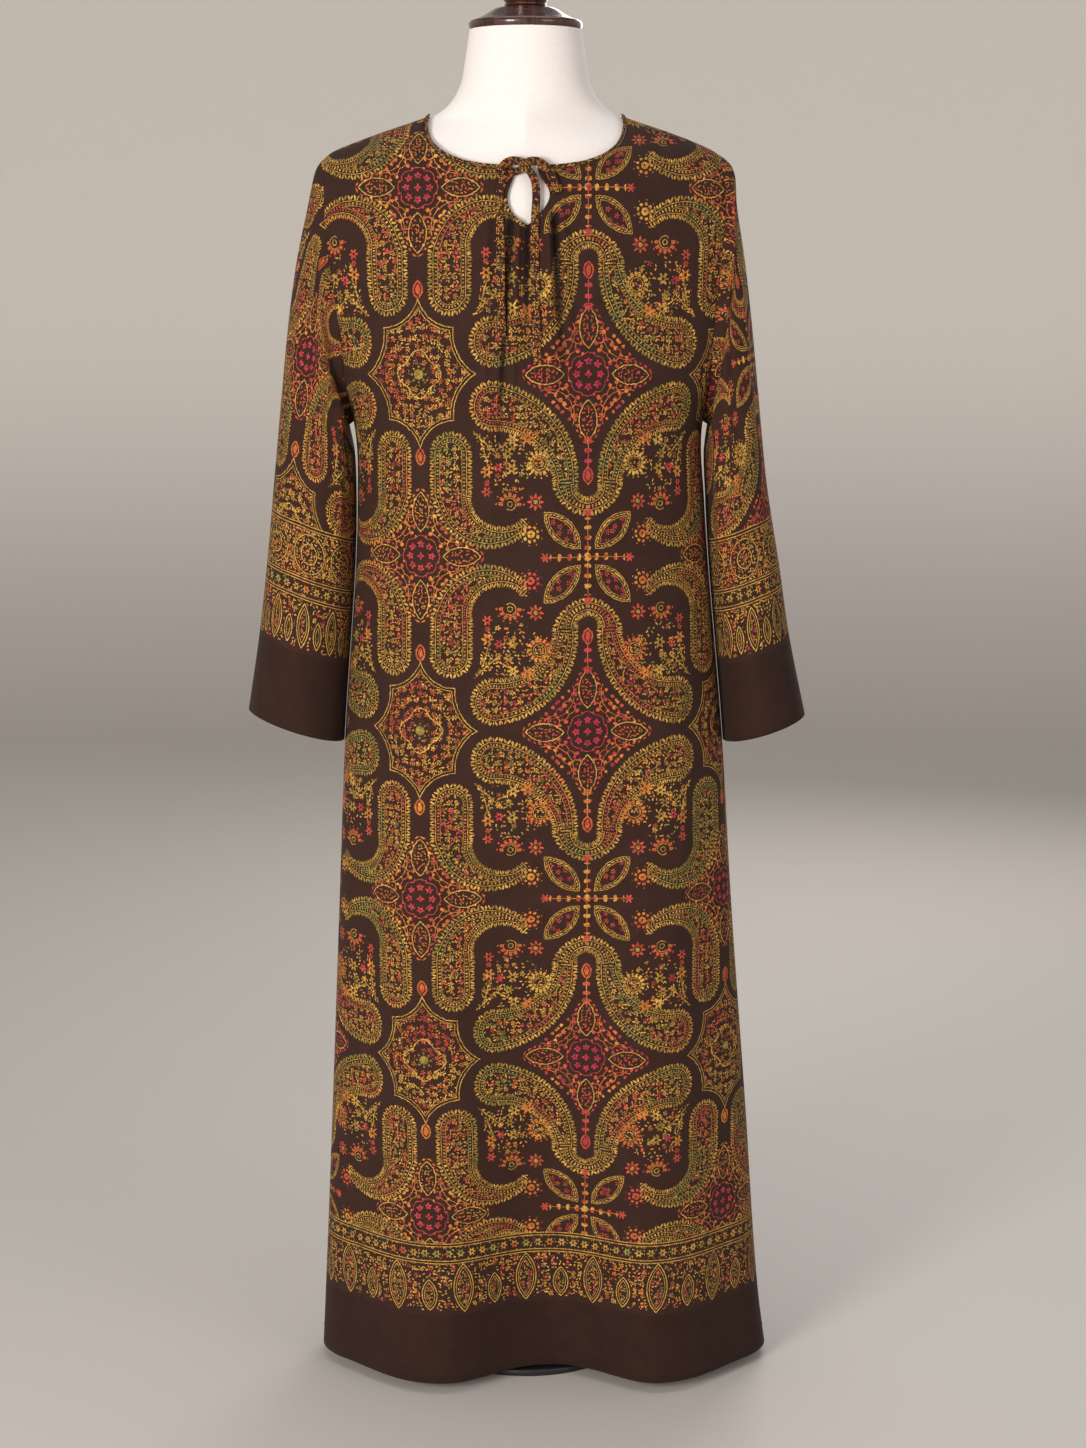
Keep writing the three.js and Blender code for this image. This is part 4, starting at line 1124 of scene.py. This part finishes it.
    # stars with hollowed sides
    star = Place.joined(ACROSS - a, UP - b)
    rim = (46.2 - star.away(83.9, 40.7)).most(39.7 - star.away(38.2, 85.7)).most(star.away() - 75.5)
    inks.clear((rim < 1.0) * (1.0 - leaves.most(flowers)))
    star_warmth = (flower_chance * 0.24 + drift * 0.22) + 0.48
    core, from_star = flower(star, (0, 0), 8.0, 9.0, 2.4)
    inks.lay((rim < -4.6) * flowers, star_warmth)
    inks.lay((rim < -4.6) * leaves * (from_star.folded(7.0) > 3.0), star_warmth - 0.12)
    inks.lines(rim, (-0.4, 0.45, 0.5), (-3.6, 0.4, 0.46))
    inks.lay(from_star.near((star.bearing() * 4.0).made("COSINE").scaled(3.0, 21.0), 0.5), 0.55)
    inks.clear(from_star < 10.5)
    inks.lay(core * (from_star.near(6.0, 0.8) < 0.5), 0.26)

    # four-petalled flower and its cross of buds
    petal = almond(folded, *PETAL_AT, math.pi / 4, 27, 12.2)
    inks.clear(petal < 4.0)
    inks.lay((petal < -4.6) * flowers, flower_chance.scaled(0.22, 0.78))
    inks.lay(petal.near(-0.2, 0.4), 0.44)
    inks.lay(petal.near(-2.2, 0.8) * (folded.away(*PETAL_AT).folded(1.3) < 0.75), 0.5)
    inks.lay(petal.near(-4.4, 0.3), 0.42)
    cross_far, cross_near = a.most(b), a.least(b)
    cross = Place.joined(cross_far, cross_near)
    arm = (cross_far < 40) * (cross_near < 5.5)
    inks.clear(arm * (petal > 0))
    inks.lay(arm * (cross_near < 0.4), 0.7)
    beads = Place.joined((cross_far - 4).folded(5.2), cross_near).away(5.2, 1.6) < 2.1
    inks.lay((cross.away() < 4.0).most(beads) * arm, 0.94 - leaf_chance * 0.6)
    inks.lay(flower(cross, (45, 0), 6.0, 5.2, 1.4)[0], 0.86)

    # flower heads, a curled blossom and a spray in the bays between the paisleys
    bloom, distance = flower(folded, ROSETTE_AT, 8.0, 8.6, 2.2)
    inks.lay(bloom * (distance > 4.0), 0.84)
    inks.lay(distance < 2.4, 0.3)
    bloom, distance = flower(folded, FAN_AT, 12.0, 15.5, 4.0)
    inks.lay(bloom * (b > 52) * (distance.folded(3.2) > 0.9) * (distance > 7.0), 0.66 + leaf_chance * 0.2)
    inks.lay(distance.near(6.0, 0.45) * (a < 86), 0.4)
    inks.lay(distance.near(2.6, 0.45), 0.42)
    bloom, distance = flower(folded, SCROLL_AT, 15.0, 16.0, 4.0)
    inks.lay(bloom * (distance > 8.2) * (distance.folded(3.4) > 0.8), 0.42 + drift * 0.35)
    inks.lay(distance.near(6.6, 0.4), 0.45)
    inks.lay((distance < 5.0) * flowers.most(leaves), 0.62)
    bloom, distance = flower(folded, BLOSSOM_AT, 9.0, 12.5, 4.0)
    inks.lay(bloom * (distance.folded(2.6) > 1.2), 0.5 + drift * 0.4)
    for x_at, y_at, radius, warmth in SPRAY_FLOWERS:
        bloom, distance = flower(folded, (x_at, y_at), 6.0, radius, radius * 0.3)
        inks.lay(bloom * (distance > radius * 0.26), warmth)
    for x_at, y_at, lean, length in SPRAY_STEMS:
        inks.lay(almond(folded, x_at, y_at, lean, length, 0.7) < 0, 0.4)
        inks.lay((almond(folded, x_at, y_at, lean, length, 5.0) < 0) * leaves, 0.4 + leaf_chance * 0.2)
    return inks


# the border's petals, large and small by turns: their pitch, and the half length and half width of each
HEM_PETALS = (38.5, (27, 11.5), (17, 8.4))
CUFF_PETALS = (18.0, (24, 7.5), (15, 5.0))
HEM_BORDER, CUFF_BORDER = 80.0, 136.0  # how far up the border goes from the plain band


def woven_border(inks, place, base, wide, drift, leaves, flowers, leaf_chance, flower_chance):
    """The border along an edge: a plain band, a row of pointed petals and a flowery band, and at the cuffs
    a second, wider band."""
    u, edge = place.split()
    w = edge - base
    inks.clear(w < (CUFF_BORDER if wide else HEM_BORDER))
    pitch, big_size, small_size = CUFF_PETALS if wide else HEM_PETALS
    spot = Place.joined(u.folded(pitch), w)
    big = almond(spot, 0, 30, math.pi / 2, *big_size)
    small = almond(spot, pitch, 23, math.pi / 2, *small_size)
    row = (w > 6) * (w < 57) * (w > u.folded(9.4).scaled(-0.9, 12.0))
    petals = big.least(small)
    leaf_warmth = drift.scaled(0.26, 0.30) + leaf_chance * 0.3 - 0.08
    inks.lay(row * leaves * (petals > 2.4) * (leaf_chance > 0.3), leaf_warmth)
    inks.lay(row * flowers * (petals > 3.0) * (flower_chance > 0.35), flower_chance.scaled(0.75, 0.2))
    inks.lines(petals, (-0.2, 0.5, 0.52), (-2.8, 0.35, 0.46))
    inks.lay((petals < -4.4) * leaves, leaf_chance.scaled(0.5, 0.0))
    inks.lay((petals < -4.4) * flowers, flower_chance.scaled(0.4, 0.6))
    inks.lines(w, *[(line, 0.5, 0.46) for line in (58.0, 61.0, 77.0, 80.0)])
    band = (w > 62) * (w < 76)
    inks.lay(band * leaves * (leaf_chance > 0.4), leaf_chance.scaled(0.5, 0.05))
    bloom, distance = flower(Place.joined(u.folded(6.6), w - 69), (0, 0), 6.0, 4.6, 1.1)
    inks.clear(band * (distance < 6.0))
    inks.lay(bloom * (distance > 1.3), flower_chance.scaled(0.7, 0.1))
    if wide:
        band = (w > 82) * (w < 131)
        bloom, distance = flower(Place.joined(u.folded(25.0), w - 106.5), (0, 0), 8.0, 8.0, 1.8)
        inks.lay(band * leaves, drift.scaled(0.3, 0.34) + leaf_chance * 0.22)
        inks.lay(band * flowers * (distance > 21), flower_chance.scaled(0.3, 0.5))
        for ring, clear, warmth in ((20.5, 1.3, 0.5), (10.5, 1.2, 0.56)):
            inks.clear(distance.near(ring, clear))
            inks.lay(distance.near(ring, 0.5), warmth)
        inks.lay(bloom * flowers, 0.72)
        inks.lines(w, (132.5, 0.5, 0.46), (CUFF_BORDER, 0.5, 0.46))


def twill_ridges(cloth):
    """The weave's slanting ridges, from -1 in the grooves to 1."""
    x, y = cloth.split()
    pitch = 2 * math.pi / TWILL_PITCH
    return (x * (pitch * math.cos(TWILL_SLANT)) + y * (pitch * math.sin(TWILL_SLANT))).made("SINE")


def cloth_map(tree, layer):
    """A place on one of the cloth's own flat maps, in metres."""
    return Place(tree, new_node(tree, "ShaderNodeUVMap", uv_map=layer).outputs[0])


def color_scale(tree, share, stops):
    """A colour that runs through some stops, each a position and a colour of 255."""
    scale = new_node(tree, "ShaderNodeValToRGB", (share,))
    ends = scale.color_ramp.elements
    for end, (position, color) in zip(ends, (stops[0], stops[-1])):
        end.position, end.color = position, linear(color)
    for position, color in stops[1:-1]:
        ends.new(position).color = linear(color)
    return scale.outputs[0]


def mixed(tree, share, first, second, blend="MIX"):
    """One colour, and the other laid over it by a share."""
    node = new_node(tree, "ShaderNodeMix", data_type="RGBA", blend_type=blend)
    return feed(node, {0: share, 6: first, 7: second}).outputs[2]


def relief(tree, height, strength, distance):
    bump = new_node(tree, "ShaderNodeBump")
    return feed(bump, {"Height": height, "Strength": strength, "Distance": distance}).outputs[0]


def printed_twill(name, base=None, wide=False, narrow=False, pinched=False):
    """The cloth's material; base is the height of the plain band above an edge, in millimetres. A narrow
    strip is cut from the leafy part of the print, and a pinched panel gets painted shade down in its narrow
    folds."""
    material, tree, shader = new_material(name)
    cloth = cloth_map(tree, "print").times(MILLIMETRES, MILLIMETRES)
    strayed = Place(tree, noise_node(cloth, WOBBLE_SIZE).outputs["Color"]).shifted(-0.5, -0.5)
    drawn = cloth.made("ADD", strayed.times(WOBBLE, WOBBLE))
    drift = noise(cloth, 75.0).ranged(0.32, 0.68, 0.0, 1.0)
    leaves, leaf_chance = small_leaves(drawn, STRIP_LEAF_NET if narrow else LEAF_NET)
    flowers, flower_chance = small_flowers(drawn, STRIP_FLOWER_NET if narrow else FLOWER_NET)
    found = drift, leaves, flowers, leaf_chance, flower_chance

    # every shape waits on these numbers, so that the renderer works them out first, in its small store
    step = (leaf_chance + flower_chance + drift + leaves + flowers) * 0.12
    across, up = drawn.split()
    folded = Place.joined((across + step - FLOWER_COLUMN).folded(ACROSS), (up + step).folded(UP))
    if narrow:
        strip = (leaves * (leaf_chance > 0.3)).most(flowers * (flower_chance > 0.3))
        inks = Inks(strip, drift * 0.2 + leaf_chance * 0.45 + 0.2)
    else:
        inks = paisley_ground(folded, *found)
    plain = 0.0
    if base is not None:
        u, edge = cloth_map(tree, "border").times(MILLIMETRES, MILLIMETRES).split()
        place = Place.joined(u + step + inks.ink * 0.01, edge + step)
        woven_border(inks, place, base, wide, *found)
        plain = edge < base

    # uneven ink, and less of it down in the twill's grooves, which is painted shade
    ridge = twill_ridges(cloth)
    speckle = noise(cloth, 1.1, 2.0).ranged(0.34, 0.62, 0.42, 1.0)
    strength = inks.ink * (speckle - (ridge < -0.55) * 0.2) * (leaf_chance * 0.62 + 0.56)
    ink_color = color_scale(tree, inks.warmth, INKS)
    ground = mixed(tree, plain, linear(GROUND), linear(PLAIN_BAND))
    # painted light and shade of the weave: the ground darker in the twill's grooves and lighter on its
    # ridges, and uneven in tone by a noise some 26 mm across
    depth = (ridge * 0.14) + (noise(cloth, 26.0, 2.0) * 0.35 + 0.83)
    level = new_node(tree, "ShaderNodeCombineColor", (depth, depth, depth)).outputs[0]
    cloth_color = mixed(tree, strength, mixed(tree, 1.0, ground, level, "MULTIPLY"), ink_color)
    # painted shade: the colour goes towards FOLD_SHADE down in the pinched folds, as deep as the 'fold' map
    # tells
    if pinched:
        cloth_color = mixed(tree, cloth_map(tree, "fold").split()[0] * 0.88, cloth_color, linear(FOLD_SHADE))
    feed(shader, {
        "Base Color": cloth_color,
        "Roughness": strength.ranged(0, 1, 0.84, 0.72),
        "Sheen Weight": 0.04,
        "Sheen Roughness": 0.5,
        "Specular IOR Level": 0.12,
        "Normal": relief(tree, twill_ridges(cloth) + noise(cloth, 0.5) * 1.2, 0.25, 0.00012),
    })
    return material


HEM_PLAIN = 76.0
CUFF_PLAIN = 85.0
body_print = printed_twill("twill_body", HEM_PLAIN, pinched=True)
cuff_print = printed_twill("twill_sleeves", CUFF_PLAIN, wide=True)
strip_print = printed_twill("twill_strips", narrow=True)
for printed_piece, print_material in [
    (front, body_print), (back, body_print), (left_sleeve, cuff_print), (right_sleeve, cuff_print),
    (binding, strip_print), *[(tie_piece, strip_print) for tie_piece in tie_pieces],
]:
    printed_piece.data.materials.append(print_material)

# ---------------------------------------------------------------- seam stitches
# Lockstitch in dark brown thread: along the neck binding's lower edge, and round the turned-up hem of the
# skirt and of each cuff, 20 mm above the edge.

STITCH_PITCH = 0.0026
STITCH_LENGTH = 0.0019
THREAD_SIDES = 6
HEM_TURN = 0.020
BINDING_STITCH_UP = 0.0009


def finish_material(name, color, roughness, **fixed):
    """A material with what is the same all over its surface, its tree and its shader."""
    material, tree, shader = new_material(name)
    feed(shader, {"Base Color": linear(color), "Roughness": roughness})
    feed(shader, {socket_name.replace("_", " "): value for socket_name, value in fixed.items()})
    return material, tree, shader


def mottled(tree, shader, scale, colors, roughness, distance, stretch=(1, 1, 1), detail=3.0):
    """Uneven colour, gloss and relief from one noise on the object's own place."""
    place = new_node(tree, "ShaderNodeTexCoord").outputs["Object"]
    place = new_node(tree, "ShaderNodeMapping", {"Vector": place, "Scale": stretch}).outputs[0]
    grain = new_node(
        tree, "ShaderNodeTexNoise", {"Vector": place, "Scale": scale, "Detail": detail}).outputs[0]
    feed(shader, {
        "Base Color": color_scale(tree, grain, [(0.32, colors[0]), (0.68, colors[1])]),
        "Roughness": new_node(tree, "ShaderNodeMapRange", (grain, 0.3, 0.7, *roughness)).outputs[0],
        "Normal": relief(tree, grain, 0.4, distance),
    })


def stitch_tree():
    """Stitches along a line: short lengths of thread at an even pitch."""
    tree = bpy.data.node_groups.new("stitch_row", "GeometryNodeTree")
    face = tree.interface
    face.new_socket("Line", in_out="INPUT", socket_type="NodeSocketGeometry")
    for socket_name, value in (
        ("Pitch", STITCH_PITCH), ("Stitch length", STITCH_LENGTH), ("Thread radius", THREAD / 2),
    ):
        face.new_socket(socket_name, in_out="INPUT", socket_type="NodeSocketFloat").default_value = value
    face.new_socket("Thread", in_out="INPUT", socket_type="NodeSocketMaterial")
    face.new_socket("Stitches", in_out="OUTPUT", socket_type="NodeSocketGeometry")
    start = new_node(tree, "NodeGroupInput").outputs
    line = new_node(tree, "GeometryNodeMeshToCurve", (start["Line"],))
    even = new_node(tree, "GeometryNodeResampleCurve", mode="LENGTH")
    feed(even, {"Curve": line.outputs[0], "Length": start["Pitch"]})
    tangent = new_node(tree, "GeometryNodeInputTangent")
    turn = new_node(tree, "FunctionNodeAlignRotationToVector", {"Vector": tangent.outputs[0]}, axis="Z")
    thread = new_node(tree, "GeometryNodeMeshCylinder", {
        "Vertices": THREAD_SIDES, "Radius": start["Thread radius"], "Depth": start["Stitch length"]})
    place = new_node(tree, "GeometryNodeInstanceOnPoints", {
        "Points": even.outputs[0], "Instance": thread.outputs["Mesh"], "Rotation": turn.outputs[0]})
    real = new_node(tree, "GeometryNodeRealizeInstances", (place.outputs[0],))
    paint = new_node(tree, "GeometryNodeSetMaterial", {
        "Geometry": real.outputs[0], "Material": start["Thread"]})
    new_node(tree, "NodeGroupOutput", (paint.outputs[0],))
    return tree


thread_finish, thread_nodes, thread_shader = finish_material("sewing_thread", (46, 32, 26), 0.6)
mottled(thread_nodes, thread_shader, 3000.0, ((36, 24, 20), (62, 44, 34)), (0.5, 0.7), 0.00005)

body_round = np.linspace(0, 2 * np.pi, 241)
hem_height = np.full_like(body_round, HEM_Z + HEM_TURN)
hem_line = body_point(body_round, hem_height) + body_normal(body_round, hem_height) * THREAD / 3
binding_line = (binding_base + binding_up * BINDING_STITCH_UP
                + binding_normal * (BINDING_PROUD - THREAD / 3))
cuff_lines = [np.vstack([cuff_line, cuff_line[:1]]) for cuff_line in (left_cuff_line, right_cuff_line)]
line_points, line_edges = [], []
for seam_line in [hem_line, binding_line, *cuff_lines]:
    first = sum(len(part) for part in line_points)
    line_points.append(seam_line)
    line_edges += [(first + k, first + k + 1) for k in range(len(seam_line) - 1)]
line_mesh = bpy.data.meshes.new("seam_stitches")
line_mesh.from_pydata(np.concatenate(line_points).tolist(), line_edges, [])
stitches = bpy.data.objects.new("seam_stitches", line_mesh)
bpy.context.collection.objects.link(stitches)
stitching = stitches.modifiers.new("stitches", "NODES")
stitching.node_group = stitch_tree()
thread_socket = next(item for item in stitching.node_group.interface.items_tree
                     if item.name == "Thread" and item.in_out == "INPUT")
stitching[thread_socket.identifier] = thread_finish
apply_modifiers(stitches)
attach(stitches, "root")

# ---------------------------------------------------------------- dress form
# A limbless form from neck to hip: a padded shell under a tight cover of white jersey, closed at the
# bottom by a board that the pole screws into. It fills the kaftan's shoulders and neck and nothing below.

# height: half width, front and back depth, squareness
TORSO_SECTIONS = [
    (0.700, 0.158, 0.090, 0.104, 2.3),
    (0.800, 0.170, 0.096, 0.114, 2.3),
    (0.900, 0.150, 0.088, 0.096, 2.2),
    (0.980, 0.130, 0.082, 0.082, 2.1),
    (1.060, 0.144, 0.100, 0.088, 2.1),
    (1.120, 0.162, 0.115, 0.094, 2.1),
    (1.200, 0.178, 0.105, 0.097, 2.1),
    (1.262, 0.192, 0.091, 0.092, 2.0),
    (1.300, 0.200, 0.078, 0.084, 1.8),
    (1.318, 0.202, 0.0706, 0.077, 1.55),
    (1.3326, 0.199, 0.066, 0.071, 1.4),
    (1.3426, 0.1805, 0.064, 0.067, 1.3),
    (1.3526, 0.155, 0.063, 0.065, 1.2),
    (1.3616, 0.128, 0.0625, 0.0635, 1.15),
    (1.3691, 0.1055, 0.0625, 0.063, 1.2),
    (1.376, 0.092, 0.0625, 0.063, 1.4),
    (1.386, 0.0805, 0.0625, 0.063, 1.7),
    (1.403, 0.070, 0.0625, 0.063, 2.0),
    (1.431, 0.0642, 0.061, 0.0615, 2.0),
    (1.462, 0.0595, 0.0595, 0.0595, 2.0),
]
BOARD_THICKNESS = 0.009
BOARD_INSET = 0.003
BOARD_EASE = 0.0012  # its edges are rounded off by this much
FORM_FOOT, FORM_BUST, FORM_NECK = 0.700, 1.262, 1.462

torso_section = smooth_table(TORSO_SECTIONS)


def form_ring(z, sides, inset=0.0):
    """The form's outline at a height, or one drawn in from it."""
    half, ahead, behind, square = torso_section(z)
    angle = 2 * np.pi * np.arange(sides) / sides
    depth = np.where(np.sin(angle) >= 0, ahead - inset, behind - inset)
    return np.stack([-(half - inset) * spow(np.cos(angle), 2 / square),
                     GARMENT_Y - depth * spow(np.sin(angle), 2 / square),
                     np.full(sides, float(z))], axis=-1)


def fold_edges(piece, degrees):
    """Keeps a crisp line where two faces meet at more than an angle."""
    piece.data.set_sharp_from_angle(angle=math.radians(degrees))


torso_heights = np.concatenate([
    np.linspace(FORM_FOOT, FORM_BUST, 70, endpoint=False), np.linspace(FORM_BUST, FORM_NECK, 60)])
torso = closed_solid("form_shell", [form_ring(z, 120) for z in torso_heights])
fold_edges(torso, 50)
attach(torso, "root")
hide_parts("form_torso")
cover_finish, cover_nodes, cover_shader = finish_material(
    "jersey_cover", (246, 240, 238), 0.85, Sheen_Weight=0.1)
mottled(cover_nodes, cover_shader, 1400.0, ((240, 233, 230), (250, 245, 244)), (0.8, 0.92), 0.0001,
        stretch=(1, 1, 0.35))
torso.data.materials.append(cover_finish)

board_top, board_bottom = FORM_FOOT - SEAM_GAP, FORM_FOOT - BOARD_THICKNESS
board_rings = []
for board_z, board_ease in [(board_bottom, BOARD_EASE), (board_bottom + BOARD_EASE, 0),
                            (board_top - BOARD_EASE, 0), (board_top, BOARD_EASE)]:
    board_ring = form_ring(FORM_FOOT, 90, BOARD_INSET + board_ease)
    board_ring[:, 2] = board_z
    board_rings.append(board_ring)
board = closed_solid("form_bottom_board", board_rings)
fold_edges(board, 30)
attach(board, "root")
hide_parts("form_board")
board_finish, board_nodes, board_shader = finish_material("plywood", (150, 116, 80), 0.6)
mottled(board_nodes, board_shader, 30.0, ((128, 94, 62), (168, 132, 94)), (0.5, 0.7), 0.0002,
        stretch=(1, 9, 9))
board.data.materials.append(board_finish)

# ---------------------------------------------------------------- neck cap and stand
# A turned hardwood cap, stained mahogany and polished, closes the neck; its knob is a second turning let
# into it. Below, a steel pole stands in the socket of a round plate, both sprayed black.

CAP_Z = 1.4623
KNOB_Z = CAP_Z + 0.0236 + SEAM_GAP
POLE_RADIUS = 0.0125
POLE_FOOT = 0.006
# radius and height, from the underside up
CAP_PROFILE = [
    (0.056, 0), (0.0588, 0.0005), (0.0599, 0.0025), (0.0604, 0.0045), (0.0602, 0.0066), (0.0590, 0.0084),
    (0.0568, 0.0093), (0.0520, 0.0108), (0.0440, 0.0146), (0.0365, 0.0194), (0.0325, 0.0215),
    (0.0290, 0.0226), (0.0240, 0.0234), (0.0200, 0.0236),
]
KNOB_PROFILE = [
    (0.0205, 0), (0.0220, 0.0006), (0.0224, 0.0016), (0.0219, 0.0027), (0.0212, 0.0032), (0.0219, 0.0042),
    (0.0232, 0.0060), (0.0238, 0.0078), (0.0238, 0.0092), (0.0228, 0.0105), (0.0218, 0.0110),
    (0.0222, 0.0122), (0.0255, 0.0160), (0.0272, 0.0195), (0.0276, 0.0230), (0.0275, 0.0260),
    (0.0266, 0.0300), (0.0249, 0.0338), (0.0224, 0.0370), (0.0190, 0.0398), (0.0150, 0.0420),
    (0.0110, 0.0435), (0.0070, 0.0444),
]
BASE_PROFILE = [
    (0.1075, 0), (0.1090, 0.0005), (0.1100, 0.0020), (0.1100, 0.0060), (0.1095, 0.0072), (0.1082, 0.0079),
    (0.1070, 0.0080), (0.0225, 0.0080), (0.0214, 0.0086), (0.0210, 0.0100), (0.0210, 0.0325),
    (0.0205, 0.0337), (0.0196, 0.0340), (0.0132, 0.0340), (0.0128, 0.0336), (0.0128, 0.0060),
]


def turned_rings(profile, y, z, sides):
    """A profile's rings about an upright axis."""
    angle = 2 * np.pi * np.arange(sides) / sides
    return [np.stack([r * np.cos(angle), y + r * np.sin(angle), np.full(sides, z + h)], axis=-1)
            for r, h in profile]


def turned(name, profile, y, z, sides=96):
    """A piece turned about an upright axis, closed at both ends on the axis."""
    rings = turned_rings(profile, y, z, sides)
    points = np.concatenate([*rings, [[0, y, z + profile[0][1]], [0, y, z + profile[-1][1]]]])
    low, high, last = len(points) - 2, len(points) - 1, (len(rings) - 1) * sides
    faces = grid_faces(len(rings) - 1, sides, closed=True)
    faces += [((k + 1) % sides, k, low) for k in range(sides)]
    faces += [(last + k, last + (k + 1) % sides, high) for k in range(sides)]
    piece = new_piece(name, points, faces)
    outward(piece)
    fold_edges(piece, 40)
    return piece


cap = turned("cap_turning", CAP_PROFILE, GARMENT_Y, CAP_Z)
knob = turned("knob_turning", KNOB_PROFILE, GARMENT_Y, KNOB_Z)
pole_profile = [(POLE_RADIUS, POLE_FOOT + SEAM_GAP), (POLE_RADIUS, board_bottom - SEAM_GAP)]
pole = turned("pole_tube", pole_profile, 0, 0, 64)
base = turned("base_plate", BASE_PROFILE, 0, 0, 128)
for turned_piece, turned_node, turned_slot in [
    (cap, "neck_cap", "polished_wood"), (knob, "cap_knob", "polished_wood"),
    (pole, "stand_pole", "black_steel"), (base, "stand_base", "black_steel"),
]:
    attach(turned_piece, "root")
    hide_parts(turned_node)

wood_finish, wood_nodes, wood_shader = finish_material(
    "polished_mahogany", (60, 28, 20), 0.3, Coat_Weight=0.7, Coat_Roughness=0.1)
mottled(wood_nodes, wood_shader, 60.0, ((38, 16, 12), (86, 40, 26)), (0.22, 0.4), 0.0001,
        stretch=(6, 6, 0.6), detail=5.0)
cap.data.materials.append(wood_finish)
knob.data.materials.append(wood_finish)
steel_finish, steel_nodes, steel_shader = finish_material("sprayed_steel", (26, 26, 27), 0.4, Metallic=0.0)
mottled(steel_nodes, steel_shader, 900.0, ((22, 22, 23), (34, 34, 35)), (0.34, 0.5), 0.0001)
pole.data.materials.append(steel_finish)
base.data.materials.append(steel_finish)

# ---------------------------------------------------------------- floor, backdrop and lights
# A round studio: a plain pale floor that curves up into a plain wall all round, lit by large soft boxes. The
# wall also glows with painted light, more the higher it stands.

FLOOR_RADIUS, CURVE_RADIUS, WALL_TOP = 4.6, 1.3, 4.5
GLOW_FOOT, GLOW_FULL, GLOW_STRENGTH = -0.25, 1.15, 0.24  # heights of the wall's glow


def round_studio(sides=96):
    """A round floor that turns up into a wall."""
    profile = [(FLOOR_RADIUS * share, 0) for share in (0.15, 0.4, 0.7)]
    profile += [(FLOOR_RADIUS + CURVE_RADIUS * math.sin(t), CURVE_RADIUS - CURVE_RADIUS * math.cos(t))
                for t in np.linspace(0, math.pi / 2, 24)]
    profile.append((FLOOR_RADIUS + CURVE_RADIUS, WALL_TOP))
    faces = [face[::-1] for face in grid_faces(len(profile) - 1, sides, closed=True)]
    return np.concatenate(turned_rings(profile, 0, 0, sides)), [tuple(range(sides)), *faces]


def soft_box(name, place, aim, size, power, color=(1, 1, 1)):
    light = bpy.data.lights.new(name, "AREA")
    light.shape = "RECTANGLE"
    light.size, light.size_y = size
    light.energy = power
    light.color = color
    lamp = bpy.data.objects.new(name, light)
    lamp.location = place
    lamp.rotation_euler = (Vector(aim) - Vector(place)).to_track_quat("-Z", "Y").to_euler()
    bpy.context.collection.objects.link(lamp)


floor = new_piece("floor", *round_studio())
floor_finish, floor_nodes, floor_shader = new_material("pale_floor")
floor.data.materials.append(floor_finish)

# painted light: the wall glows by its own emission, less and less towards the floor
floor_place = new_node(floor_nodes, "ShaderNodeTexCoord").outputs["Object"]
floor_height = new_node(floor_nodes, "ShaderNodeSeparateXYZ", (floor_place,)).outputs["Z"]
glow = new_node(floor_nodes, "ShaderNodeMapRange", interpolation_type="SMOOTHSTEP")
feed(glow, (floor_height, GLOW_FOOT, GLOW_FULL, 0.0, GLOW_STRENGTH))
feed(floor_shader, {
    "Base Color": (0.62, 0.59, 0.56, 1),
    "Roughness": 0.6,
    "Emission Strength": glow.outputs[0],
    "Emission Color": (1.0, 0.90, 0.79, 1),
})
floor_finish.cycles.emission_sampling = "NONE"

soft_box("key", (-1.6, -2.8, 1.15), (0, 0, 0.5), (0.9, 1.1), 74, (1.0, 0.95, 0.88))
soft_box("fill", (2.2, -2.2, 1.3), (0, 0, 0.62), (1.2, 1.6), 15, (1.0, 0.95, 0.9))
soft_box("top", (0, 0, 3.4), (0, 0, 1.0), (2.4, 2.4), 22)
soft_box("back", (0.9, 2.9, 2.0), (0, 0, 0.75), (1.4, 1.4), 26, (1.0, 0.96, 0.92))
world = bpy.data.worlds.new("studio")
world.use_nodes = True
feed(world.node_tree.nodes["Background"], {"Color": (0.9, 0.93, 1.0, 1), "Strength": 0.20})
bpy.context.scene.world = world
bpy.context.scene.view_settings.view_transform = "Standard"
